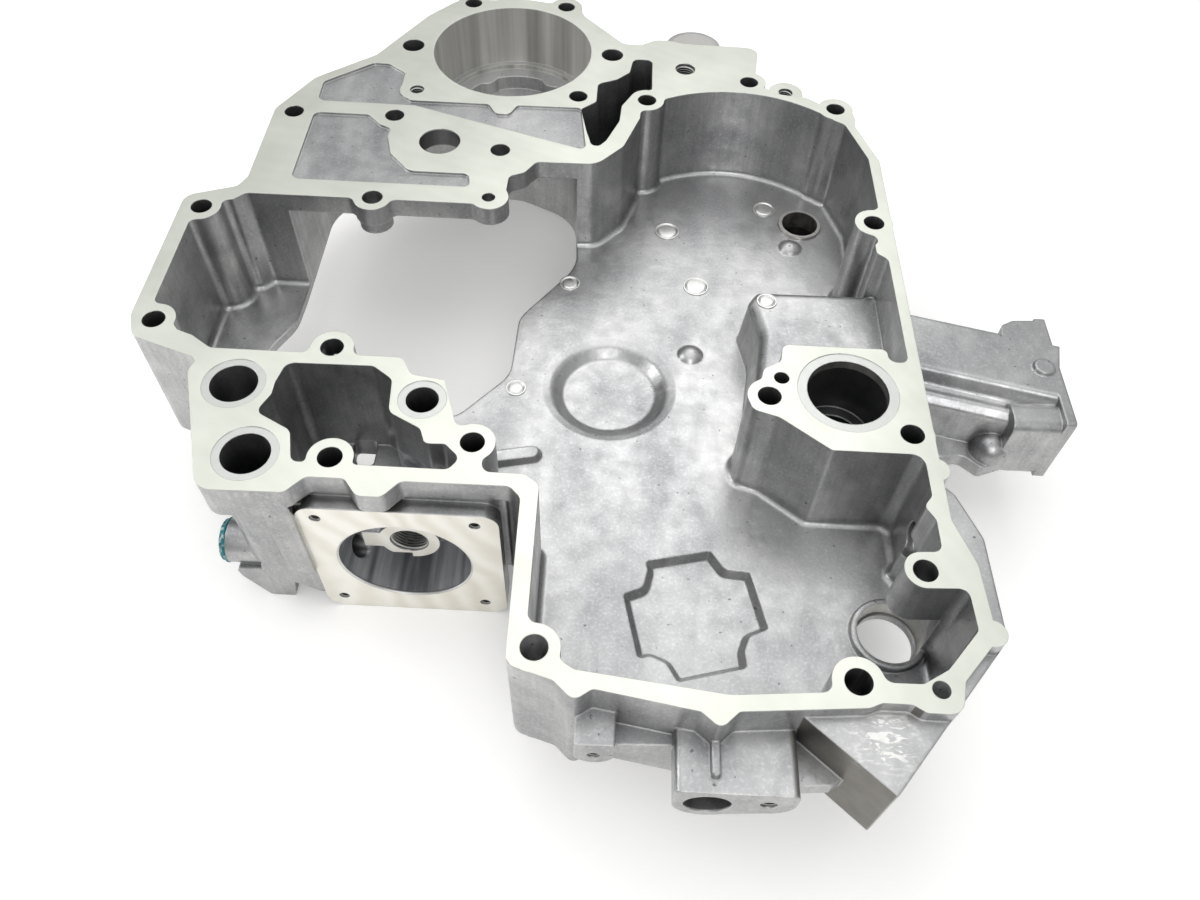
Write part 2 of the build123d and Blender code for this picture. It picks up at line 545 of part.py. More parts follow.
with BuildPart() as gear_case:
    # Case outline to the rear rail, and everything that stands outside it
    add(case_face.sketch)
    extrude(amount=rail_level)
    with BuildSketch(Plane.XY.offset(wedge_top)):
        add(outline(wedge_edge))
    extrude(amount=wedge_bottom - wedge_top)
    with BuildSketch(Plane.XY.offset(tapped_boss_level)):
        with Locations(tapped_boss_at):
            Circle(boss_radius)
            with Locations((0.0, -9.0)):
                Rectangle(2 * boss_radius, 18.0)
    extrude(amount=rear_level - tapped_boss_level)
    with BuildSketch(Plane.XY.offset(cap_level - 1.0)):
        with Locations(cap_at):
            Circle(cap_boss_radius)
    extrude(amount=table_level - cap_level + 1.0)
    with BuildSketch(Plane.XY.offset(duct_top - 2.0)):
        with Locations(duct_bore_at):
            Circle(stub_radius)
    extrude(amount=table_level - duct_top + 2.0)
    add(duct.part)
    add(bottom_bosses.part)
    with BuildSketch(Plane.XY.offset(-port_block_depth)):
        add(outline(undercut_edge))
        add(discs(large_ports, port_column_radius), mode=Mode.SUBTRACT)
        Polygon((-101.0, -279.0), (-85.8, -301.0), (-85.8, -317.0), (-80.0, -317.0),
                (-85.0, -279.0), align=None, mode=Mode.SUBTRACT)
    extrude(amount=rail_level + port_block_depth - 1.0, mode=Mode.SUBTRACT)
    with BuildSketch(Plane.XY.offset(trough_level)):
        Polygon((-66.0, -345.0), (-66.0, -326.5), (27.0, -326.5), (33.0, -333.0),
                (33.0, -345.0), align=None)
    extrude(amount=rail_level - trough_level - 1.0, mode=Mode.SUBTRACT)
    add(filter_block.part)

    # Chambers, duct boss, seal ring, floor marks, bush boss and the column in the oil cavity
    add(chamber_space.part, mode=Mode.SUBTRACT)
    add(left_chamber_space.part, mode=Mode.SUBTRACT)
    add(duct_boss.part)
    add(seal_ring.part)
    add(floor_marks.part)
    with BuildSketch(Plane.XY.offset(rear_level)):
        add(discs([bush_at], bush_boss_radius))
    extrude(amount=bush_boss_level - rear_level)
    with BuildSketch(Plane.XY.offset(floor_level - 1.0)):
        add(discs([cavity_column_at], cavity_column_radius))
    extrude(amount=cavity_column_top - floor_level + 1.0)

    # Opening in the floor, under the pump plate as well
    with BuildSketch(Plane.XY.offset(plate_level)):
        add(outline(opening_edge))
        with Locations((0.0, 0.0)):
            Circle(pump_cylinder_radius, mode=Mode.SUBTRACT)
    extrude(amount=rail_level - plate_level - 1.0, mode=Mode.SUBTRACT)
    with BuildSketch(Plane.XY.offset(plate_level + 1.0)):
        add(discs(plate_bosses, column_radius))
    extrude(amount=-plate_boss_length)

    # Rear cores
    with BuildSketch(Plane.XY.offset(rail_level)):
        add(outline(left_core_edge))
        add(outline(right_core_edge))
        add(discs(cover_bolts + pump_bolts + [sensor_hole_at], boss_radius), mode=Mode.SUBTRACT)
        Circle(pump_cylinder_radius, mode=Mode.SUBTRACT)
    extrude(amount=plate_level - rail_level, mode=Mode.SUBTRACT)
    with BuildSketch(Plane.XY.offset(wedge_bottom)):
        add(outline(wedge_core_edge))
    extrude(amount=wedge_top - wedge_bottom - 6.0, mode=Mode.SUBTRACT)
    with BuildSketch(Plane.XY.offset(rail_level)):
        Circle(pump_bore_radius)
    extrude(amount=14.0, mode=Mode.SUBTRACT)

    # Recess between the rear rails, with the pads left under the floor pans
    with BuildSketch(Plane.XY.offset(rail_level)):
        add(outline(rear_recess_edge))
        add(grown(outline(opening_edge), 7.0), mode=Mode.SUBTRACT)
        with Locations(frame_pan_middle):
            Rectangle(*frame_pan_pad, rotation=frame_pan_turn, mode=Mode.SUBTRACT)
        add(discs([pan_at], pan_radius + 8.0), mode=Mode.SUBTRACT)
        add(discs([bush_at], bush_boss_radius), mode=Mode.SUBTRACT)
    extrude(amount=rear_level - rail_level, mode=Mode.SUBTRACT)

    # Pump bore, its ledge and the cast bottom with two lobes
    Hole(pump_bore_radius, depth=pump_bore_depth)
    with BuildSketch():
        Circle(pump_ledge_radius)
    extrude(amount=-pump_ledge_depth, mode=Mode.SUBTRACT)
    with BuildSketch():
        Circle(pump_floor_radius)
        add(discs(pump_lobes, pump_lobe_radius), mode=Mode.SUBTRACT)
    extrude(amount=-pump_floor_depth, taper=3.0, mode=Mode.SUBTRACT)

    # Plate recesses and the deep slot with its rib
    with BuildSketch():
        add(outline(upper_recess_edge))
        add(outline(lower_recess_edge))
        add(discs(cover_bolts + [plate_screw_at], boss_radius), mode=Mode.SUBTRACT)
    extrude(amount=-recess_depth, mode=Mode.SUBTRACT)
    with BuildSketch() as slot_face:
        add(outline(slot_edge))
        add(discs([cover_bolts[6], cover_bolts[9]], boss_radius), mode=Mode.SUBTRACT)
        offset(amount=-2.0)
        offset(amount=2.0)
    extrude(amount=-slot_depth, taper=draft, mode=Mode.SUBTRACT)

    # Oil cavity and ports
    with BuildSketch():
        add(outline(cavity_edge))
        add(discs(blind_bolts, boss_radius), mode=Mode.SUBTRACT)
        offset(amount=-2.0)
        offset(amount=2.0)
    extrude(amount=-cavity_depth, taper=draft, mode=Mode.SUBTRACT)
    with BuildSketch():
        add(discs(large_ports, large_port_radius + port_ring))
        add(discs([small_port_at], small_port_radius + port_ring))
    extrude(amount=-ring_depth, mode=Mode.SUBTRACT)
    with BuildSketch():
        add(discs(large_ports, large_port_radius))
        add(discs([small_port_at], small_port_radius))
    extrude(amount=rail_level - 1.0, mode=Mode.SUBTRACT)

    with BuildSketch(Plane.XY.offset(rail_level + 12.0)):
        with Locations(window_at):
            RectangleRounded(*window_size, 2.0)
    extrude(amount=table_level - rail_level - 12.0, mode=Mode.SUBTRACT)

    # Bolt holes, dowel holes and tapped holes
    with BuildSketch():
        add(discs(cover_bolts, bolt_radius))
        add(discs(pump_bolts, pump_bolt_radius))
    extrude(amount=table_level, mode=Mode.SUBTRACT)
    with BuildSketch():
        add(discs(blind_bolts, bolt_radius))
    extrude(amount=-blind_bolt_depth, mode=Mode.SUBTRACT)
    with BuildSketch():
        add(discs(dowels, dowel_radius))
        add(discs([plate_screw_at], plate_screw_radius))
    extrude(amount=-dowel_depth, mode=Mode.SUBTRACT)
    with BuildSketch():
        add(discs([sensor_hole_at], sensor_hole_radius))
        add(discs([tapped_boss_at], tapped_hole_radius))
    extrude(amount=-tapped_depth, mode=Mode.SUBTRACT)
    with BuildSketch():
        add(discs([shaft_bore_at], shaft_bore_radius))
    extrude(amount=plate_level - 20.0, mode=Mode.SUBTRACT)

    # Water passage: bore, neck down through the stub, and the duct
    with BuildSketch():
        add(discs([duct_bore_at], duct_ring_radius))
    extrude(amount=-ring_depth, mode=Mode.SUBTRACT)
    with BuildSketch():
        add(discs([duct_bore_at], duct_bore_radius))
    extrude(amount=-duct_bore_depth, mode=Mode.SUBTRACT)
    with BuildSketch():
        add(discs([duct_bore_at], duct_neck_radius))
    extrude(amount=table_level, mode=Mode.SUBTRACT)
    with BuildSketch(duct_plane):
        with Locations((duct_port_offset, duct_level)):
            RectangleRounded(duct_port_width, duct_port_height, 8.0)
    extrude(amount=duct_length + 5.0, mode=Mode.SUBTRACT)
    with BuildSketch(Plane.XY.offset(duct_level - duct_port_height / 2)):
        Polygon((168.0, -262.0), (170.0, -212.0), (212.0, -190.0), (212.0, -222.0),
                (193.0, -266.0), align=None)
    extrude(amount=duct_port_height - 8.0, mode=Mode.SUBTRACT)

    # Round pan with a soft rim, and the polygon pan
    with BuildSketch(Plane(origin=(*pan_at, floor_level), x_dir=(1, 0, 0), z_dir=(0, -1, 0))):
        with BuildLine():
            pan_line = FilletPolyline(
                (0.0, -pan_depth), (pan_radius, -pan_depth), (pan_radius + 6.0, -1.3),
                (pan_radius + 12.0, 0.2), radius=[pan_round, 2 * pan_round],
            )
            Polyline(pan_line @ 1, (pan_radius + 12.0, 1.0), (0.0, 1.0), pan_line @ 0)
        make_face()
    revolve(axis=Axis((*pan_at, floor_level), (0, 0, 1)), mode=Mode.SUBTRACT)
    with BuildSketch(Plane.XY.offset(floor_level)):
        add(outline(frame_pan_edge))
    extrude(amount=-frame_pan_depth, taper=frame_pan_slope, mode=Mode.SUBTRACT)

    # Seal bore under the corner post, the post's hole, the bush seat and the blind bore below it
    with BuildSketch(Plane.XY.offset(-post_depth)):
        add(discs([seal_hole_at], seal_hole_radius))
    extrude(amount=rear_level + post_depth, mode=Mode.SUBTRACT)
    with BuildSketch(Plane.XY.offset(rear_level)):
        add(discs([seal_hole_at], seal_neck_radius))
    extrude(amount=rail_level - rear_level, mode=Mode.SUBTRACT)
    with BuildSketch():
        add(discs([post_hole_at], post_hole_radius))
    extrude(amount=-post_depth - 1.0, mode=Mode.SUBTRACT)
    with BuildSketch(Plane.XY.offset(floor_level)):
        add(discs([bush_at], bush_outer))
    extrude(amount=rail_level - floor_level, mode=Mode.SUBTRACT)
    with BuildSketch(Plane.XY.offset(rail_level)):
        add(discs([bush_at], bush_inner + bush_relief))
    extrude(amount=bush_boss_level - rail_level + 4.0, mode=Mode.SUBTRACT)
    with BuildSketch(Plane.YZ.offset(case_right - wall_pocket_depth)):
        with Locations(wall_pocket_at):
            Circle(wall_pocket_radius)
    extrude(amount=-12.0, mode=Mode.SUBTRACT)

    # Filter bowl, threaded boss, mounting holes and the gallery
    with BuildSketch(Plane.XZ.offset(-filter_face)):
        with Locations(filter_centre):
            Circle(filter_bowl_radius)
    extrude(amount=-filter_bowl_depth, taper=3.0, mode=Mode.SUBTRACT)
    with BuildSketch(Plane.XZ.offset(-filter_face - filter_bowl_depth - 1.0)):
        with Locations(filter_centre):
            Circle(filter_boss_radius)
            with Locations((-12.0, 0.0)):
                Rectangle(20.0, 12.0)
    extrude(amount=filter_bowl_depth + 1.0 - filter_boss_recess)
    with BuildSketch(Plane.XZ.offset(-filter_face)):
        with Locations(filter_centre):
            Circle(filter_thread_radius)
    extrude(amount=-filter_thread_depth, mode=Mode.SUBTRACT)
    with BuildSketch(Plane.XZ.offset(-filter_face)):
        with Locations(filter_centre):
            with GridLocations(filter_bolt_spacing_x, filter_bolt_spacing_z, 2, 2):
                Circle(filter_bolt_radius)
    extrude(amount=-filter_bolt_depth, mode=Mode.SUBTRACT)
    with BuildSketch(Plane.YZ.offset(gallery_end)):
        with Locations((gallery_y, gallery_z)):
            Circle(gallery_bore)
    extrude(amount=14.0, mode=Mode.SUBTRACT)
    with BuildSketch(Plane.YZ.offset(gallery_end)):
        with Locations((gallery_y, gallery_z)):
            Circle(gallery_passage)
    extrude(amount=filter_centre[0] - gallery_end, mode=Mode.SUBTRACT)

    # Holes in the bottom bosses
    with BuildSketch(Plane.XZ.offset(-port_boss_face)):
        with Locations(port_boss_at):
            Circle(port_hole_radius)
    extrude(amount=-36.0, mode=Mode.SUBTRACT)
    with BuildSketch(Plane.XZ.offset(-port_boss_face)):
        with Locations(port_screw_at):
            Circle(port_screw_radius)
        with Locations(small_boss_at):
            Circle(small_screw_radius)
    extrude(amount=-30.0, mode=Mode.SUBTRACT)

    # Cap seat and the core in the boss under it
    with BuildSketch(Plane.XY.offset(cap_level)):
        with Locations(cap_at):
            Circle(cap_radius)
    extrude(amount=-cap_thickness, mode=Mode.SUBTRACT)
    with BuildSketch(Plane.XY.offset(table_level)):
        with Locations(cap_at):
            Circle(cap_radius - 2.0)
    extrude(amount=80.0, taper=draft, mode=Mode.SUBTRACT)

with BuildPart() as floor_bush:
    with BuildSketch(Plane.XY.offset(floor_level + bush_proud)):
        with Locations(bush_at):
            Circle(bush_outer)
            Circle(bush_inner, mode=Mode.SUBTRACT)
    extrude(amount=rail_level - floor_level - bush_proud)

with BuildPart() as top_plug:
    with BuildSketch(Plane.XY.offset(cap_level)):
        with Locations(cap_at):
            Circle(cap_radius)
    extrude(amount=-cap_thickness)

with BuildPart() as gallery_plug:
    with BuildSketch(Plane.YZ.offset(gallery_end)):
        with Locations((gallery_y, gallery_z)):
            Circle(gallery_bore)
    extrude(amount=10.0)
    with BuildSketch(Plane.YZ.offset(gallery_end)):
        with Locations((gallery_y, gallery_z)):
            Circle(gallery_radius - 0.6)
    extrude(amount=-2.5)

floor_bush.part.label = "floor_bush"
top_plug.part.label = "top_plug"
gallery_plug.part.label = "gallery_plug"
gear_case.part.label = "gear_case"

os.makedirs("parts", exist_ok=True)
export_step(gear_case.part, "parts/gear_case.step")
export_step(floor_bush.part, "parts/floor_bush.step")
export_step(top_plug.part, "parts/top_plug.step")
export_step(gallery_plug.part, "parts/gallery_plug.step")
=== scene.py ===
"""Engine timing gear case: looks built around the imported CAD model, with Blender's own tools.

The case is one aluminium pressure die casting with machined joint faces and bores.
The frame is the CAD model's: the gasket face is z = 0. The pieces and the finishes give
their sizes in millimetres, as a drawing does, and MM turns them to metres. The studio is
laid out in metres.
"""
import logging
import math
from dataclasses import dataclass
from enum import Enum
from typing import Any, Callable

import bmesh
import bpy
from mathutils import Matrix, Vector


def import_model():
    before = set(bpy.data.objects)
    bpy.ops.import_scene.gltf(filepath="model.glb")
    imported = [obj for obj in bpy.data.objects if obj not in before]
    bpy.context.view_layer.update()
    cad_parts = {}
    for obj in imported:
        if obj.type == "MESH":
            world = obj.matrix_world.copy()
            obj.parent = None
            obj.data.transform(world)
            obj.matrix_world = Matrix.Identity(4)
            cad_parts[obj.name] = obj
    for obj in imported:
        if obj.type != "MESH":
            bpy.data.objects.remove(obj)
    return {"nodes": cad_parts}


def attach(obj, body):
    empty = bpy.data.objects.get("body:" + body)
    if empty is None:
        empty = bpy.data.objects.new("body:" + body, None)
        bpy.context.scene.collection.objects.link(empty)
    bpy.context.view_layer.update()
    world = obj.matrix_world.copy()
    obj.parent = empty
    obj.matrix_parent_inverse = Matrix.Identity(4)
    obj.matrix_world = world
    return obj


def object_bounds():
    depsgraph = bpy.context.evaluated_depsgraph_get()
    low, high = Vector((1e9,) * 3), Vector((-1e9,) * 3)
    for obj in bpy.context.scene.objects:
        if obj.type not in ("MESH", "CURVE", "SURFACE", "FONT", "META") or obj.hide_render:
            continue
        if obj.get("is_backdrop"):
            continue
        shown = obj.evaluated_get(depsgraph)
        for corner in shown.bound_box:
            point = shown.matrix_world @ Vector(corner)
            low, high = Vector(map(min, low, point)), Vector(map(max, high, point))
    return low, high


LOG = logging.getLogger("gear_case")
MM = 0.001

Tree = bpy.types.NodeTree
Node = bpy.types.Node
Socket = bpy.types.NodeSocket

# A wave texture of scale 1 repeats after this length, in metres
WAVE_PERIOD = 0.314

# How near a point lies to a level or to a bore's radius, to count as on it, in millimetres
ON_LEVEL = 0.05
ON_WALL = 0.25

# The least part of a normal along an axis for its face to count as square to the axis
SQUARE = 0.9

# Faces that meet at less than this angle, in degrees, are shaded as one smooth surface
SMOOTH_BELOW = 35.0


class Axis(Enum):
    """The three axes of the frame, by their index."""

    X = 0
    Y = 1
    Z = 2


def linear(sheet: str) -> tuple[float, float, float, float]:
    """Turn an sRGB hex colour into linear light.

    Args:
        sheet: the colour as six hex digits.

    Returns:
        Linear red, green and blue, and an alpha of 1.
    """
    channels = []
    for start in (0, 2, 4):
        value = int(sheet[start : start + 2], 16) / 255.0
        channels.append(value / 12.92 if value <= 0.04045 else ((value + 0.055) / 1.055) ** 2.4)
    return (channels[0], channels[1], channels[2], 1.0)


def add_node(
    tree: Tree, kind: str, feeds: dict[Any, Any] | None = None, **settings: Any
) -> Node:
    """Add a shader node with its settings and links.

    Args:
        tree: the node tree that gets the node.
        kind: the node's type name.
        feeds: input name or index to a socket that is linked, or to a plain value.
        settings: attributes of the node.

    Returns:
        The new node.
    """
    node = tree.nodes.new(kind)
    for name, value in settings.items():
        setattr(node, name, value)
    for key, value in (feeds or {}).items():
        if isinstance(value, Socket):
            tree.links.new(value, node.inputs[key])
        else:
            node.inputs[key].default_value = value
    return node


def any_of(tree: Tree, masks: list[Socket]) -> Socket:
    """Join masks into one that is 1 wherever any of them is.

    Args:
        tree: the node tree of the masks.
        masks: one mask or more.

    Returns:
        The joined mask.
    """
    joined = masks[0]
    for mask in masks[1:]:
        joined = add_node(
            tree, "ShaderNodeMath", {0: joined, 1: mask}, operation="MAXIMUM"
        ).outputs[0]
    return joined


def start_material(name: str) -> tuple[bpy.types.Material, Tree, Node]:
    """Start a material that is drawn with nodes.

    Args:
        name: the material's name.

    Returns:
        The material, its node tree and its Principled shader.
    """
    material = bpy.data.materials.new(name)
    material.use_nodes = True
    tree = material.node_tree
    return material, tree, tree.nodes["Principled BSDF"]


@dataclass(frozen=True)
class Pattern:
    """A noise pattern: its size in millimetres, and how fine, rough and wavy it is."""

    size: float
    detail: float = 2.0
    roughness: float = 0.5
    distortion: float = 0.0

    def over(self, vector: Socket) -> dict[str, Any]:
        """Return the inputs of a noise node that draws the pattern over a vector."""
        return {
            "Vector": vector,
            "Scale": 1.0 / (self.size * MM),
            "Detail": self.detail,
            "Roughness": self.roughness,
            "Distortion": self.distortion,
        }


@dataclass(frozen=True)
class Ramp:
    """A straight ramp: the values where it starts and ends, and what it gives there."""

    start: float
    end: float
    first: float = 0.0
    last: float = 1.0

    def of(self, value: Socket) -> dict[str, Any]:
        """Return the inputs of a range node that puts a value through the ramp."""
        return {
            "Value": value,
            "From Min": self.start,
            "From Max": self.end,
            "To Min": self.first,
            "To Max": self.last,
        }


@dataclass(frozen=True)
class FlatFace:
    """A machined flat: the axis it faces along, its level in millimetres and its sense."""

    axis: Axis
    level: float
    side: float = 1.0


@dataclass(frozen=True)
class Bore:
    """A bore along an axis, with its centre, radius and span in millimetres."""

    axis: Axis
    centre: tuple[float, float]
    radius: float
    span: tuple[float, float]


@dataclass
class Surface:
    """The casting's node tree, and its sockets that tell where on the case a point lies."""

    tree: Tree
    spot: Socket
    normal: Socket
    flats: Socket
    turned: Socket
    seats: Socket
    machined: Socket
    stained_and_shaded: Socket
    clean: Socket
    filter_bowl: Socket
    upright: Socket
    sideways: Socket


@dataclass(frozen=True)
class MachiningPlan:
    """Where the casting was milled and turned, which holes get a stain that is partly painted
    shade, and which get little painted shade.
    """

    # The gasket face, the filter flange and its centre boss, the duct's end and the low lug
    milled: tuple[FlatFace, ...] = (
        FlatFace(Axis.Z, 0.0),
        FlatFace(Axis.Y, -334.0, -1.0),
        FlatFace(Axis.Y, -322.0, -1.0),
        FlatFace(Axis.X, 300.5),
        FlatFace(Axis.Z, -6.0),
    )
    # The pump bore and its step, the water port's mouth and the seal post's ring
    turned: tuple[Bore, ...] = (
        Bore(Axis.Z, (0.0, 0.0), 49.0, (-38.2, 0.1)),
        Bore(Axis.Z, (0.0, 0.0), 45.0, (-41.2, -37.8)),
        Bore(Axis.Z, (180.0, -266.0), 19.0, (-5.0, 0.1)),
        Bore(Axis.Z, (201.3, -359.4), 14.6, (-66.2, -55.0)),
    )
    # The water port's neck and the shaft bore, which get a dark stain that is partly painted
    # shade
    stained_and_shaded: tuple[Bore, ...] = (
        Bore(Axis.Z, (180.0, -266.0), 19.4, (-106.0, -5.0)),
        Bore(Axis.Z, (-32.7, -95.0), 11.8, (-72.0, -1.0)),
    )
    filter_bowl: tuple[Bore, ...] = (Bore(Axis.Y, (-22.0, -59.7), 32.6, (-333.8, -290.0)),)
    # The pump bore, the filter bowl and two of the bolt holes, which get little painted shade
    clean: tuple[Bore, ...] = (
        Bore(Axis.Z, (0.0, 0.0), 49.4, (-70.0, 0.1)),
        Bore(Axis.Y, (-22.0, -59.7), 32.2, (-333.4, -290.0)),
        Bore(Axis.Z, (45.5, -400.7), 6.0, (-60.0, 0.1)),
        Bore(Axis.Z, (198.8, -409.7), 4.2, (-60.0, 0.1)),
    )
    seat_level: float = -0.4
    wall_slope: Ramp = Ramp(0.7, 0.2)

    def survey(self, tree: Tree) -> Surface:
        """Add the nodes that find each kind of place on the case.

        Args:
            tree: the casting's node tree.

        Returns:
            The sockets of those nodes.
        """
        coordinate = add_node(tree, "ShaderNodeTexCoord")
        spot = coordinate.outputs["Object"]
        place = add_node(tree, "ShaderNodeSeparateXYZ", {0: spot})
        normal = add_node(tree, "ShaderNodeSeparateXYZ", {0: coordinate.outputs["Normal"]})
        flats = self.flat_mask(tree, place, normal)
        turned = self.bore_mask(tree, place, self.turned, filled=False)
        seats = add_node(
            tree, "ShaderNodeMath",
            {0: place.outputs[2], 1: self.seat_level * MM, 2: ON_LEVEL * MM},
            operation="COMPARE",
        ).outputs[0]
        level = add_node(tree, "ShaderNodeMath", {0: normal.outputs[2]}, operation="ABSOLUTE")
        upright = add_node(tree, "ShaderNodeMapRange", self.wall_slope.of(level.outputs[0]))
        sideways = add_node(tree, "ShaderNodeMath", {0: normal.outputs[1]}, operation="ABSOLUTE")
        return Surface(
            tree=tree,
            spot=spot,
            normal=coordinate.outputs["Normal"],
            flats=flats,
            turned=turned,
            seats=seats,
            machined=any_of(tree, [flats, turned, seats]),
            stained_and_shaded=self.bore_mask(tree, place, self.stained_and_shaded, filled=True),
            clean=self.bore_mask(tree, place, self.clean, filled=True),
            filter_bowl=self.bore_mask(tree, place, self.filter_bowl, filled=True),
            upright=upright.outputs[0],
            sideways=sideways.outputs[0],
        )

    def flat_mask(self, tree: Tree, place: Node, normal: Node) -> Socket:
        """Find the milled flats.

        Args:
            tree: the casting's node tree.
            place: the separated Object coordinates.
            normal: the separated normal.

        Returns:
            A mask that is 1 on the flats and 0 elsewhere.
        """
        masks = []
        for face in self.milled:
            near = add_node(
                tree, "ShaderNodeMath",
                {0: place.outputs[face.axis.value], 1: face.level * MM, 2: ON_LEVEL * MM},
                operation="COMPARE",
            )
            facing = add_node(
                tree, "ShaderNodeMath",
                {0: normal.outputs[face.axis.value], 1: face.side}, operation="MULTIPLY",
            )
            square = add_node(
                tree, "ShaderNodeMath", {0: facing.outputs[0], 1: SQUARE},
                operation="GREATER_THAN",
            )
            both = add_node(
                tree, "ShaderNodeMath", {0: near.outputs[0], 1: square.outputs[0]},
                operation="MULTIPLY",
            )
            masks.append(both.outputs[0])
        return any_of(tree, masks)

    @staticmethod
    def bore_mask(tree: Tree, place: Node, bores: tuple[Bore, ...], filled: bool) -> Socket:
        """Find some bores.

        Args:
            tree: the casting's node tree.
            place: the separated Object coordinates.
            bores: the bores.
            filled: whether all within a bore counts, or only what lies at its radius.

        Returns:
            A mask that is 1 on the bores and 0 elsewhere.
        """
        masks = []
        for bore in bores:
            offsets = []
            across = [axis for axis in Axis if axis is not bore.axis]
            for axis, centre in zip(across, bore.centre):
                offsets.append(
                    add_node(
                        tree, "ShaderNodeMath",
                        {0: place.outputs[axis.value], 1: centre * MM}, operation="SUBTRACT",
                    ).outputs[0]
                )
            spoke = add_node(tree, "ShaderNodeCombineXYZ", {0: offsets[0], 1: offsets[1]})
            radius = add_node(
                tree, "ShaderNodeVectorMath", {0: spoke.outputs[0]}, operation="LENGTH"
            )
            round_wall = add_node(
                tree, "ShaderNodeMath",
                {0: radius.outputs["Value"], 1: bore.radius * MM, 2: ON_WALL * MM},
                operation="LESS_THAN" if filled else "COMPARE",
            )
            middle = (bore.span[0] + bore.span[1]) / 2 * MM
            reach = (bore.span[1] - bore.span[0]) / 2 * MM
            inside = add_node(
                tree, "ShaderNodeMath",
                {0: place.outputs[bore.axis.value], 1: middle, 2: reach}, operation="COMPARE",
            )
            both = add_node(
                tree, "ShaderNodeMath", {0: round_wall.outputs[0], 1: inside.outputs[0]},
                operation="MULTIPLY",
            )
            masks.append(both.outputs[0])
        return any_of(tree, masks)


@dataclass(frozen=True)
class CastSkin:
    """The skin that the die leaves: satin silver with soft flow marks and a fine grain.

    Drag lines run down the walls, where the casting slid out of the die.
    """

    light: str = "C4C4C3"
    dark: str = "969698"
    drag_dark: str = "77777A"
    fleck: str = "E2E2DF"
    pore: str = "3E3E40"
    flow: Pattern = Pattern(38.0, 3.0, 0.45, 0.7)
    cloud: Pattern = Pattern(14.0, 5.0, 0.5, 0.3)
    cloud_share: float = 0.36
    flow_stretch: tuple[float, float, float] = (1.0, 0.42, 1.0)
    tone: Ramp = Ramp(0.33, 0.67)
    drag: Pattern = Pattern(3.2, 4.0, 0.65)
    drag_stretch: tuple[float, float, float] = (1.0, 1.0, 0.07)
    drag_tone: Ramp = Ramp(0.66, 0.34, 0.0, 0.3)
    flecks: Pattern = Pattern(1.5, 4.0, 0.7)
    fleck_tone: Ramp = Ramp(0.5, 0.74, 0.0, 0.4)
    pores: Pattern = Pattern(2.4, 1.0)
    pore_tone: Ramp = Ramp(0.73, 0.78, 0.0, 0.6)

    def colour(self, surface: Surface) -> Socket:
        """Draw the skin.

        Args:
            surface: where on the case a point lies.

        Returns:
            The skin's colour.
        """
        tree = surface.tree
        # The metal ran along Y as it filled the die, so its flow marks are drawn out that way
        drawn_out = add_node(
            tree, "ShaderNodeMapping", {"Vector": surface.spot, "Scale": self.flow_stretch}
        )
        flow = add_node(tree, "ShaderNodeTexNoise", self.flow.over(drawn_out.outputs[0]))
        cloud = add_node(tree, "ShaderNodeTexNoise", self.cloud.over(drawn_out.outputs[0]))
        tone = add_node(
            tree, "ShaderNodeMix",
            {"Factor": self.cloud_share, "A": flow.outputs["Fac"], "B": cloud.outputs["Fac"]},
            data_type="FLOAT",
        )
        spread = add_node(tree, "ShaderNodeMapRange", self.tone.of(tone.outputs[0]))
        skin = add_node(
            tree, "ShaderNodeMix",
            {"Factor": spread.outputs[0], "A": linear(self.dark), "B": linear(self.light)},
            data_type="RGBA",
        ).outputs["Result"]
        # Flecks and pores are drawn a little coarser than the real grain, so that they show
        grains = (
            (self.drag_lines(surface), self.drag_dark),
            (self.dots(surface, self.flecks, self.fleck_tone), self.fleck),
            (self.dots(surface, self.pores, self.pore_tone), self.pore),
        )
        for mask, colour in grains:
            skin = add_node(
                tree, "ShaderNodeMix",
                {"Factor": mask, "A": skin, "B": linear(colour)}, data_type="RGBA",
            ).outputs["Result"]
        return skin

    def drag_lines(self, surface: Surface) -> Socket:
        """Draw the drag lines, which run down the upright walls alone.

        Args:
            surface: where on the case a point lies.

        Returns:
            A mask of the lines.
        """
        tree = surface.tree
        stretched = add_node(
            tree, "ShaderNodeMapping", {"Vector": surface.spot, "Scale": self.drag_stretch}
        )
        drag = add_node(tree, "ShaderNodeTexNoise", self.drag.over(stretched.outputs[0]))
        lines = add_node(tree, "ShaderNodeMapRange", self.drag_tone.of(drag.outputs["Fac"]))
        return add_node(
            tree, "ShaderNodeMath", {0: lines.outputs[0], 1: surface.upright},
            operation="MULTIPLY",
        ).outputs[0]

    @staticmethod
    def dots(surface: Surface, pattern: Pattern, tone: Ramp) -> Socket:
        """Return a mask of the spots where a fine pattern peaks."""
        noise = add_node(surface.tree, "ShaderNodeTexNoise", pattern.over(surface.spot))
        return add_node(
            surface.tree, "ShaderNodeMapRange", tone.of(noise.outputs["Fac"])
        ).outputs[0]


